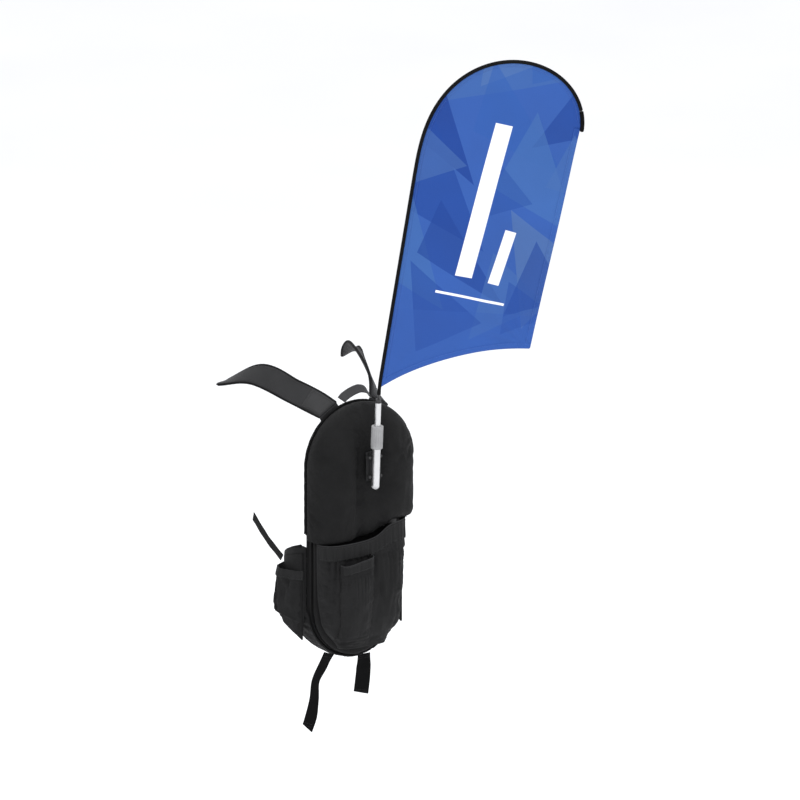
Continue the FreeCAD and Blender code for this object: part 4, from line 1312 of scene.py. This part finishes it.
def make_strap_anchor(name, root, side):
    """Short sewn tab between the panel's edge and the strap's root."""
    centre = Vector((0, root.y, PANEL_ARC_TOP))
    out = Vector((root.x, 0, root.z - PANEL_ARC_TOP))
    radius = out.length
    out.normalize()
    tangent = Vector((out.z, 0, -out.x)) * side
    points = [centre + out * r for r in (PANEL_R + 0.0012, PANEL_R + 0.009, radius - 0.0012)]
    tab = ribbon(name, points, [tangent * 0.0485] * 3, 0.0042, STRAP_CLOTH, rows=24, cols=13,
                 ride=("root", "strap_fabric"))
    stitches(name + "_stitches", cross_seams(tab, (6, 9), 0.0022, 16, inset=0.003), "root")


def make_shoulder_straps():
    left = in_box("shoulder_strap_left", (0.816, 0.003, 0.153), (0.767, 0.145, 0.261),
                  (0.638, 0.343, 0.427), (0.427, 0.660, 0.656), (0.104, 0.929, 0.334))
    left_w = widths_of([(-0.85, 0, -0.5, 0.050), (-0.7, 0, -0.7, 0.050), (-0.65, 0, -0.76, 0.049),
                        (-0.66, -0.15, -0.7, 0.048), (-0.55, -0.8, 0.2, 0.042)])
    right = in_box("shoulder_strap_right", (0.179, 0.006, 0.130), (0.274, 0.141, 0.305),
                   (0.385, 0.301, 0.530), (0.623, 0.636, 0.746), (0.893, 0.923, 0.512))
    right_w = widths_of([(0.85, 0, -0.5, 0.050), (0.6, 0.3, -0.74, 0.050), (0.55, 0.4, -0.74, 0.049),
                         (0.66, 0.3, -0.6, 0.048), (0.55, 0.8, -0.2, 0.042)])
    for name, points, widths, body in (("shoulder_strap_left", left, left_w, "strap_left"),
                                       ("shoulder_strap_right", right, right_w, "strap_right")):
        band, line, across, up, half = ribbon(name + "_pad", points, widths, 0.0048, STRAP_CLOTH,
                                              rows=120, cols=17, crown=0.0006, wave=0.0004,
                                              ride=(body, "strap_fabric", name))
        for sign, tag in ((1, "outer"), (-1, "inner")):
            strap_binding(name + "_" + tag + "_binding", line, across, half, up, body, sign)
        make_strap_anchor(name + "_anchor", points[0], -1 if name.endswith("left") else 1)
        top = 1 if up[10][2] > 0 else -1
        patch_line = [line[i] + up[i] * top * 0.0030 for i in range(2, 44, 3)]
        patch_side = [across[i] * half[i] * 1.62 for i in range(2, 44, 3)]
        patch = ribbon(name + "_patch", patch_line, patch_side, 0.0011, STRAP_PATCH, rows=50, cols=9,
                       ride=(body, "webbing"))
        _, line, across, up, half = patch
        box = []
        for sign in (1, -1):
            seam = [line[i] + across[i] * sign * (half[i] - 0.002) + up[i] * top * 0.0006
                    for i in range(2, 48)]
            box.append((seam, [up[i] * top for i in range(2, 48)]))
        box += cross_seams(patch, (3, 5, 46, 48), 0.0006, 12, faces=(top,))
        stitches(name + "_patch_stitches", box, body)


def make_webbing():
    left = in_box("waist_tail_left", (0.795, 0.024, 0.963), (0.619, 0.277, 0.779), (0.502, 0.479, 0.588),
                  (0.405, 0.631, 0.374), (0.288, 0.732, 0.172), (0.190, 0.833, 0.017))
    left_w = widths_of([(1, 0, -0.60, 0.024), (0.9, -0.2, 0, 0.022), (0.95, -0.1, 0, 0.019),
                        (0.85, -0.3, 0, 0.020), (0.75, -0.55, 0, 0.024), (0.85, -0.4, 0.15, 0.024)])
    left[1] += Vector((0.001, 0, 0.004))
    left[2] += Vector((-0.005, 0, 0.004))
    left[4] += Vector((0.002, 0, 0))
    right = in_box("waist_tail_right", (0.503, 0.182, 0.950), (0.503, 0.269, 0.632),
                   (0.503, 0.441, 0.306), (0.469, 0.614, 0.001))
    right_w = widths_of([(1, 0, 0.316, 0.030), (0.92, -0.3, 0, 0.030), (0.86, -0.5, 0, 0.030),
                         (0.84, -0.54, 0, 0.030)])
    for name, points, widths, body, slant in (
            ("waist_tail_left", left, left_w, "tail_left", 0.006),
            ("waist_tail_right", right, right_w, "tail_right", 0.001)):
        band = ribbon(name + "_webbing", points, widths, 0.0017, BLACK_TAPE, rows=90, cols=13,
                      crown=0.0003, wave=0.0004, end_slant=slant, ride=(body, "webbing", name))
        runs = [seam for i in (5, 9) for seam in cross_seams(band, (i,), 0.0011, 14)]
        runs += cross_seams(band, (-4, -8), 0.0011, 14)
        stitches(name + "_stitches", runs, body)
    for side, name, body in ((1, "hip_webbing_right", "webbing_right"),
                             (-1, "hip_webbing_left", "webbing_left")):
        low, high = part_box(name)
        x0, x1 = (low.x, high.x) if side > 0 else (high.x, low.x)
        across = Vector((0, -0.60, 0.80)).normalized() * 0.0165
        half = across / 2
        lowest = Vector((x0 + side * 0.001, low.y + abs(half.y), low.z + abs(half.z)))
        highest = Vector((x1 - side * 0.001, high.y - abs(half.y), high.z - abs(half.z)))
        middle = lowest * 0.51 + highest * 0.49 + Vector((side * 0.001, 0.001, -0.003))
        band = ribbon(name + "_band", [lowest, middle, highest], [across] * 3, 0.0017, SIDE_TAPE,
                      rows=60, cols=11, crown=0.0002, wave=0.0003, end_slant=0.004,
                      ride=(body, "webbing", name))
        stitches(name + "_stitches", cross_seams(band, (4, 8, 52), 0.0011, 10), body)


def make_grab_loop():
    low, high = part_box("grab_loop")
    middle = (low.y + high.y) / 2
    half = (high.x - low.x) / 2 - 0.0008
    lean = high.y - low.y - 0.0016
    foot = low.z + lean / 2 + 0.0012
    rise = high.z - low.z - lean - 0.0024
    shares = ((-1, 0), (-0.80, 0.36), (-0.42, 0.72), (0, 0.97), (0.34, 1.02), (0.72, 0.74), (1, 0))
    points = [Vector((half * a, middle, foot + rise * b)) for a, b in shares]
    side = [Vector((0, lean, lean))] * len(points)
    band = ribbon("grab_loop_webbing", points, side, 0.0019, LOOP_TAPE, rows=90, cols=11, crown=0.0005,
                  ride=("grab", "webbing", "grab_loop"))
    runs = [seam for i in (3, 6, 83, 86) for seam in cross_seams(band, (i,), 0.0013, 10)]
    stitches("grab_loop_stitches", runs, "grab")


# ---- bent pole and flag --------------------------------------------------------------------------
TUBE_LEAN = math.radians(3.4)
POLE_LEAN = math.radians(14.9)
POLE_TURN = math.radians(297)
BOW_LEN = 0.060
TURN_START = 0.500
TURN_END = 1.528
POLE_LEN = 1.080
TOUCH = 1e-6
SLEEVE_START = 0.016 - TOUCH
FLAG_START = 0.030 - TOUCH
POLE_DIR = Vector((0, -math.sin(POLE_LEAN), math.cos(POLE_LEAN)))
FLAG_TURN = math.radians(-35)
FLAG_SIDE = Vector((math.cos(FLAG_TURN), math.sin(FLAG_TURN), 0))
FLAG_OUT = (FLAG_SIDE - POLE_DIR * FLAG_SIDE.dot(POLE_DIR)).normalized()
FLAG_NORMAL = POLE_DIR.cross(FLAG_OUT)


def pole_heading(s):
    if s < BOW_LEN:
        lean = TUBE_LEAN + (POLE_LEAN - TUBE_LEAN) * s / BOW_LEN
        return Vector((0, -math.sin(lean), math.cos(lean)))
    part = min(max((s - TURN_START) / (TURN_END - TURN_START), 0.0), 1.0)
    turn = POLE_TURN * (3 * part ** 2 - 2 * part ** 3)
    return POLE_DIR * math.cos(turn) + FLAG_OUT * math.sin(turn)


def pole_line():
    """The pole's axis from the top of the bush's flange, every 4 mm."""
    low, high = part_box("swivel_bush")
    place = Vector(((low.x + high.x) / 2, 0, high.z))
    place.y = (low.y + high.y) / 2 - 0.0225 * math.sin(TUBE_LEAN)
    place.z = high.z - 0.0055 * math.sin(TUBE_LEAN)
    found = []
    for i in range(int(round(POLE_LEN / 0.004)) + 1):
        found.append((i * 0.004, place.copy(), pole_heading(i * 0.004)))
        place = place + pole_heading(i * 0.004 + 0.002) * 0.004
    return found


POLE = pole_line()
FLAG_BASE = next(p for s, p, _ in POLE if abs(s - BOW_LEN) < 0.001)
CORNER = (0.100, 0.284)
ARC_MID = (0.042, 0.103)


def flat_of(place):
    rel = Vector(place) - FLAG_BASE
    return rel.dot(POLE_DIR), rel.dot(FLAG_OUT)


def pole_edge(inset):
    """The flag's edge along the pole in the flag's own plane: up and out."""
    return np.array([flat_of(p - d.cross(FLAG_NORMAL).normalized() * inset)
                     for s, p, d in POLE if s >= FLAG_START])


EDGE = pole_edge(0.0034)
AXIS = pole_edge(0.0)


def circle_through(a, b, c):
    """Centre and radius of the circle through three places."""
    m = np.array([[b[0] - a[0], b[1] - a[1]], [c[0] - a[0], c[1] - a[1]]], float) * 2
    rhs = np.array([b[0] ** 2 + b[1] ** 2 - a[0] ** 2 - a[1] ** 2,
                    c[0] ** 2 + c[1] ** 2 - a[0] ** 2 - a[1] ** 2])
    centre = np.linalg.solve(m, rhs)
    return centre, math.dist(centre, a)


def far_edge(count=160):
    """The hollow lower edge and the straight fly edge, from the pole's foot to its tip."""
    start, end = EDGE[0], EDGE[-1]
    centre, radius = circle_through(CORNER, ARC_MID, start)
    a0 = math.atan2(start[1] - centre[1], start[0] - centre[0])
    a1 = math.atan2(CORNER[1] - centre[1], CORNER[0] - centre[0])
    while a1 - a0 > math.pi:
        a1 -= 2 * math.pi
    while a1 - a0 < -math.pi:
        a1 += 2 * math.pi
    foot = [centre + radius * np.array([math.cos(t), math.sin(t)]) for t in np.linspace(a0, a1, 50)]
    fly = [np.array(CORNER) * (1 - t) + end * t for t in np.linspace(0, 1, count - 49)]
    return np.array(foot), np.array(fly)


FOOT, FLY = far_edge()


def ripple(ups, outs):
    """Gentle waves in the flag, still beside the pole, with pull lines from the lower corners."""
    ups, outs = np.asarray(ups, float), np.asarray(outs, float)
    near = np.min(np.hypot(ups[..., None] - AXIS[::4, 0], outs[..., None] - AXIS[::4, 1]), axis=-1)
    calm = 1 - np.exp(-np.clip(near - 0.004, 0, 1) / 0.05)
    wave = 0.0032 * np.sin(ups * 17 - outs * 9 + 0.6) + 0.0022 * np.sin(ups * 8 + outs * 21 + 2.0)
    corner = np.hypot(ups - CORNER[0], outs - CORNER[1])
    angle = np.arctan2(ups - CORNER[0], CORNER[1] - outs)
    wave = wave + 0.0016 * np.sin(angle * 16) * np.exp(-corner / 0.16) * np.clip(corner / 0.05, 0, 1)
    root = np.hypot(ups + 0.02, outs)
    lean = np.arctan2(outs, ups + 0.03)
    wave = wave + 0.0016 * np.sin(lean * 15 + 0.5) * np.exp(-root / 0.15) * np.clip(root / 0.04, 0, 1)
    return calm * wave


def flag_place(up, out, lift):
    return FLAG_BASE + POLE_DIR * up + FLAG_OUT * out + FLAG_NORMAL * lift


def ear_grid():
    """Matched places on the pole edge and the far edge, row by row."""
    near_run = run_along(EDGE)
    far = np.vstack([FOOT, FLY[1:]])
    far_run = run_along(far)
    rows = 190
    a, b = [], []
    for t in np.linspace(0, 1, rows):
        n = near_run[-1] * t
        f = far_run[-1] * (t ** 0.72 if t < 1 else 1)
        a.append([np.interp(n, near_run, EDGE[:, k]) for k in (0, 1)])
        b.append([np.interp(f, far_run, far[:, k]) for k in (0, 1)])
    return np.array(a), np.array(b)


def make_flag():
    a, b = ear_grid()
    cols = 64
    share = np.linspace(0, 1, cols)
    flat = a[:, None, :] * (1 - share)[None, :, None] + b[:, None, :] * share[None, :, None]
    lift = ripple(flat[..., 0], flat[..., 1])
    verts = [flag_place(flat[r, c, 0], flat[r, c, 1], lift[r, c]) for r in range(len(a)) for c in range(cols)]
    uvs = [(flat[r, c, 1], flat[r, c, 0]) for r in range(len(a)) for c in range(cols)]
    obj = make_object("flag_cloth_sheet", verts, grid_faces(len(a), cols), FLAG_PRINT, uvs)
    work = bmesh.new()
    work.from_mesh(obj.data)
    bmesh.ops.remove_doubles(work, verts=work.verts, dist=0.00002)
    bmesh.ops.dissolve_degenerate(work, edges=work.edges, dist=0.00002)
    work.to_mesh(obj.data)
    work.free()
    slot_of(obj, "mast", "flag_cloth", "flag_panel")
    hems = [make_flag_hem("flag_fly_hem_tape", FLY, "flag_fly_hem"),
            make_flag_hem("flag_foot_hem_tape", FOOT, "flag_foot_hem")]
    flat_area = sum(p.area for p in obj.data.polygons)
    lows, highs = flat.reshape(-1, 2).min(0), flat.reshape(-1, 2).max(0)
    min(flat_area, (highs - lows).prod())


def flag_tape(name, flats, sides, slot, *nodes):
    """Band sewn to the flag; flats holds each vertex as up, out and lift."""
    lifts = ripple([v[0] for v in flats], [v[1] for v in flats])
    placed = [flag_place(v[0], v[1], v[2] + lift) for v, lift in zip(flats, lifts)]
    return tape_object(name, placed, sides, FLAG_PRINT, [(v[1], v[0]) for v in flats], "mast", slot, *nodes)


def flag_stitches(name, lines, lift, pitch, length):
    """Blue stitches along flat lines, on both faces of the flag."""
    runs = []
    for line in lines:
        waves = ripple(line[:, 0], line[:, 1])
        for top in (1, -1):
            seam = [flag_place(u, w, wave + top * lift) for (u, w), wave in zip(line, waves)]
            runs.append((seam, [FLAG_NORMAL * top] * len(seam)))
    stitches(name, runs, "mast", BLUE_THREAD, pitch=pitch, length=length, radius=0.00022)


def make_flag_hem(name, edge, node, width=0.012):
    """Turned and sewn hem that follows an edge of the flag."""
    count = 150
    run = run_along(edge)
    line = np.array([[np.interp(v, run, edge[:, k]) for k in (0, 1)]
                     for v in np.linspace(run[-1] * 0.004, run[-1] * 0.996, count)])
    ahead = unit_rows(np.gradient(line, axis=0))
    inward = np.c_[-ahead[:, 1], ahead[:, 0]]
    centre = np.array([0.45, 0.12])
    if np.dot(inward[count // 2], centre - line[count // 2]) < 0:
        inward = -inward
    section = [(0.0, 0.0002), (0.0, 0.0005), (0.0006, 0.0008), (0.004, 0.0008), (width - 0.0005, 0.0007),
               (width, 0.0003), (width, -0.0003), (width - 0.0005, -0.0007), (0.004, -0.0008),
               (0.0006, -0.0008), (0.0, -0.0005)]
    flats = []
    for i in range(count):
        for d, o in section:
            u, w = line[i] + inward[i] * d
            pucker = 1 + 0.25 * math.sin(i * 1.7) if abs(o) > 0.0006 else 1
            flats.append((u, w, o * pucker))
    obj = flag_tape(name, flats, len(section), "flag_cloth", node)
    flag_stitches(name + "_stitches", [line + inward * d for d in (0.0025, width - 0.0018)], 0.0009,
                  0.0034, 0.0024)
    return obj


def make_sleeve():
    """Black sleeve round the pole, with its sewn flange on the flag."""
    end_s = POLE_LEN - 0.040
    places = [tuple(p) for s, p, _ in POLE if SLEEVE_START <= s <= end_s + TOUCH]
    radii = np.full(len(places), 0.0036)
    radii[:2] = 0.0039
    sleeve = cord_tube("pole_sleeve_tube", places, radii, SLEEVE_CLOTH, sides=18, ruck=0.012)
    slot_of(sleeve, "mast", "sleeve_fabric", "pole_sleeve")
    tip = [tuple(p) for s, p, _ in POLE if s >= end_s + 0.0019]
    last, heading = POLE[-1][1], POLE[-1][2]
    tip += [tuple(last + heading * d) for d in (0.003, 0.0055, 0.0068)]
    radii = np.full(len(tip), 0.0042)
    radii[-2:] = (0.0040, 0.0030)
    pocket = cord_tube("flag_tip_pocket", tip, radii, BLACK_TAPE, sides=18)
    slot_of(pocket, "mast", "sleeve_fabric", "flag_end_pocket")
    rows = [(p, d.cross(FLAG_NORMAL).normalized() * -1) for s, p, d in POLE if s >= FLAG_START]
    section = [(0.0030, 0.0007), (0.0105, 0.0006), (0.0112, 0.0), (0.0105, -0.0006), (0.0030, -0.0007)]
    flats = []
    for i, (place, inward) in enumerate(rows):
        taper = min(1.0, i / 6, (len(rows) - 1 - i) / 4)
        for w, o in section:
            depth = 0.0030 + (w - 0.0030) * max(taper, 0.15)
            flats.append((*flat_of(place + inward * depth), o))
    flag_tape("sleeve_flange", flats, len(section), "sleeve_fabric")
    lines = [np.array([flat_of(p + d * w) for p, d in rows[6:-4]]) for w in (0.0048, 0.0092)]
    flag_stitches("sleeve_stitches", lines, 0.0008, 0.0036, 0.0025)


# ---- flag print: flat blue shapes and three plain bars, in metres up and out on the flag ---------
def half_plane(n, up, out, p, q):
    """1 on the left of the line from p to q."""
    du, dv = q[0] - p[0], q[1] - p[1]
    size = math.hypot(du, dv)
    value = n.math("ADD", n.math("MULTIPLY", up, dv / size), n.math("MULTIPLY", out, -du / size))
    value = n.math("SUBTRACT", value, (p[0] * dv - p[1] * du) / size)
    return n.math("MULTIPLY_ADD", n.math("MULTIPLY", value, 1 / 0.0009), -1.0, 0.5)


def shape_mask(n, up, out, corners):
    """1 inside a convex shape given by its corners, up and out."""
    after = corners[1:] + corners[:1]
    area = sum(p[0] * q[1] - q[0] * p[1] for p, q in zip(corners, after))
    if area < 0:
        corners = corners[::-1]
    mask = None
    for i, p in enumerate(corners):
        edge = half_plane(n, up, out, p, corners[(i + 1) % len(corners)])
        mask = edge if mask is None else n.math("MINIMUM", mask, edge)
    return n.clamp(mask)


def bar_corners(a, b, width):
    """Corners of a straight bar between two places."""
    du, dv = b[0] - a[0], b[1] - a[1]
    size = math.hypot(du, dv)
    x, y = -dv / size * width / 2, du / size * width / 2
    return [(a[0] + x, a[1] + y), (b[0] + x, b[1] + y), (b[0] - x, b[1] - y), (a[0] - x, a[1] - y)]


SHAPES = [
    ((0.90, 0.02), (0.60, -0.02), (0.72, 0.34), (0.047, 0.120, 0.327), 0.55),
    ((0.93, 0.06), (0.74, 0.22), (0.80, 0.42), (0.013, 0.053, 0.259), 0.75),
    ((0.86, 0.10), (0.66, 0.10), (0.78, 0.30), (0.066, 0.140, 0.334), 0.60),
    ((0.76, -0.02), (0.44, 0.12), (0.54, -0.02), (0.008, 0.043, 0.238), 0.85),
    ((0.66, -0.02), (0.30, 0.16), (0.38, -0.02), (0.010, 0.050, 0.259), 0.75),
    ((0.72, 0.12), (0.48, 0.30), (0.56, 0.10), (0.023, 0.087, 0.331), 0.60),
    ((0.70, 0.30), (0.62, 0.44), (0.54, 0.22), (0.009, 0.046, 0.245), 0.70),
    ((0.62, 0.22), (0.36, 0.34), (0.44, 0.16), (0.047, 0.128, 0.348), 0.60),
    ((0.50, 0.34), (0.30, 0.30), (0.40, 0.42), (0.012, 0.050, 0.245), 0.75),
    ((0.46, -0.02), (0.16, 0.10), (0.22, -0.02), (0.043, 0.120, 0.334), 0.65),
    ((0.40, 0.06), (0.18, 0.22), (0.28, 0.03), (0.009, 0.045, 0.238), 0.70),
    ((0.40, 0.20), (0.14, 0.26), (0.30, 0.36), (0.074, 0.148, 0.327), 0.60),
    ((0.30, 0.18), (0.10, 0.16), (0.20, 0.30), (0.047, 0.120, 0.334), 0.55),
    ((0.26, 0.02), (0.06, 0.06), (0.14, 0.18), (0.011, 0.050, 0.259), 0.60),
    ((0.34, 0.26), (0.22, 0.34), (0.16, 0.22), (0.010, 0.048, 0.252), 0.65),
    ((0.82, 0.18), (0.68, 0.20), (0.74, 0.36), (0.023, 0.087, 0.331), 0.55),
    ((0.58, -0.02), (0.48, 0.10), (0.42, -0.02), (0.058, 0.132, 0.334), 0.45),
    ((0.58, 0.30), (0.46, 0.26), (0.44, 0.38), (0.047, 0.120, 0.334), 0.60),
    ((0.24, 0.22), (0.12, 0.22), (0.18, 0.32), (0.013, 0.056, 0.274), 0.55),
    ((0.52, 0.14), (0.36, 0.12), (0.42, 0.24), (0.013, 0.059, 0.274), 0.50),
]
FLAG_BLUE = (0.029, 0.090, 0.335)
FOOT_BLUE = (0.026, 0.084, 0.330)
WHITE_INK = (0.86, 0.87, 0.90)
LONG_BAR = ((0.239, 0.129), (0.583, 0.159), 0.034)
SHORT_BAR = ((0.229, 0.190), (0.353, 0.207), 0.022)
THIN_LINE = ((0.200, 0.079), (0.186, 0.218), 0.0054)


def mix(n, base, value, mask):
    """Colour that goes from base to value where the mask is 1."""
    node = n.new("ShaderNodeMix")
    node.data_type = "RGBA"
    low, high = [s for s in node.inputs if s.type == "RGBA"]
    n.put([s for s in node.inputs if s.name == "Factor" and s.type == "VALUE"][0], mask)
    n.put(low, (*base, 1) if isinstance(base, tuple) else base)
    n.put(high, (*value, 1))
    return [s for s in node.outputs if s.type == "RGBA"][0]


def make_print():
    n = Nodes("flag_print")
    out, up, _ = n.split(n.place("UV"))
    color = FLAG_BLUE
    for p, q, r, tone, strength in SHAPES:
        color = mix(n, color, tone, n.times(shape_mask(n, up, out, [p, q, r]), strength))
    band = n.clamp(half_plane(n, up, out, (0.150, 0.0), (0.172, 0.30)))
    color = mix(n, color, FOOT_BLUE, n.times(band, 0.35))
    for a, b, width in (LONG_BAR, SHORT_BAR, THIN_LINE):
        color = mix(n, color, WHITE_INK, shape_mask(n, up, out, bar_corners(a, b, width)))
    weave = weave_height(n, up, out, 0.0008)
    broad = n.noise(n.place(), 6.0, 2.0)
    tinted = n.new("ShaderNodeVectorMath", operation="SCALE")
    n.link(color, tinted.inputs[0])
    n.link(n.times(n.ramp(weave, 0.93, 1.05, 0.0, 1.0), n.ramp(broad, 0.94, 1.06)), tinted.inputs["Scale"])
    normal = n.bump(weave, 0.0001, 0.8, n.bump(n.noise(n.place(), 14.0, 3.0), 0.0012, 0.6))
    return n.surface(tinted.outputs[0], n.ramp(broad, 0.5, 0.66), normal, sheen=0.03, shine=0.14)


FLAG_PRINT = make_print()
SLEEVE_CLOTH = fabric("sleeve_cloth", grey(0.0028, 0.0030), pitch=0.0009, sheen=0.01, crease=0.0004)


# ---- CAD pieces that show as they are ------------------------------------------------------------
PAINT = {
    "frame_sheet": BLACK_PLASTIC, "tube_bracket": BLACK_PLASTIC, "bracket_rivets": BLACK_PLASTIC,
    "lower_tube": SATIN_TUBE, "tube_end_cap": PALE_PLASTIC, "lock_collar": GREY_PLASTIC,
    "upper_tube": SATIN_TUBE, "expander_plug": BLACK_PLASTIC, "swivel_bush": BLACK_PLASTIC,
    "pole_spigot": ROD, "pole_stop_ring": BLACK_PLASTIC, "pole_lower": ROD, "pole_ferrule": STEEL,
    "pole_upper": ROD, "pole_tip": BLACK_PLASTIC,
}


def paint_nodes():
    for name, material in PAINT.items():
        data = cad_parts[name].data
        data.materials.clear()
        data.materials.append(material)
        data.polygons.foreach_set("material_index", [0] * len(data.polygons))


# ---- studio --------------------------------------------------------------------------------------
def area_light(name, place, aim, size, power):
    data = bpy.data.lights.new(name, "AREA")
    data.shape = "RECTANGLE"
    data.size, data.size_y = size
    data.energy = power
    lamp = bpy.data.objects.new(name, data)
    lamp.location = place
    lamp.rotation_euler = (Vector(aim) - Vector(place)).to_track_quat("-Z", "Y").to_euler()
    bpy.context.collection.objects.link(lamp)
    return lamp


def make_stage():
    low = CAD_BOX[0]
    verts = [(-60, -60, 0), (60, -60, 0), (60, 60, 0), (-60, 60, 0)]
    n = Nodes("studio_floor")
    n.link(n.tint((0.95, 0.95, 0.955), n.ramp(n.noise(n.place(), 1.5, 2.0), 0.985, 1.015)),
           n.bsdf.inputs["Base Color"])
    n.bsdf.inputs["Roughness"].default_value = 0.9
    floor = make_object("studio_floor", verts, [(0, 1, 2, 3)], n.mat, smooth=False)
    floor.location.z = low[2] - 0.35
    target = (0.0, -0.1, 0.3)
    lamps = [
        area_light("key", (-2.4, -2.6, 2.6), target, (1.8, 1.8), 60),
        area_light("fill", (2.8, -2.2, 1.4), target, (2.2, 2.2), 22),
        area_light("rim", (0.5, 3.0, 2.4), target, (2.4, 1.2), 30),
        area_light("top", (0.0, -0.4, 3.4), target, (2.0, 2.0), 30),
    ]
    world = bpy.data.worlds.new("studio")
    world.use_nodes = True
    back = world.node_tree.nodes["Background"]
    back.inputs["Color"].default_value = (0.97, 0.98, 1.0, 1)
    back.inputs["Strength"].default_value = 1.04
    bpy.context.scene.world = world
    bpy.context.scene.view_settings.view_transform = "Standard"


make_stage()
paint_nodes()
make_shell()
make_piping()
make_back_panel()
make_closing_bands()
make_lower_body()
POUCH_TREE = make_pouch()
make_hem("main_pouch_hem_tape", pouch_place, POUCH_HIGH.z, MOUTH_HEM,
         np.sin(np.linspace(-math.pi / 2 * 0.985, math.pi / 2 * 0.985, 220)), "root", "binding",
         "main_pouch_hem", seed=2, pucker=0.0008)
make_leaflet(POUCH_TREE)
make_hip_rim()
make_hip_pouch(1, "hip_pouch_right", "hip_pouch_right", 11)
make_hip_pouch(-1, "hip_pouch_left", "hip_pouch_left", 14)
make_shoulder_straps()
make_webbing()
make_grab_loop()
make_flag()
make_sleeve()
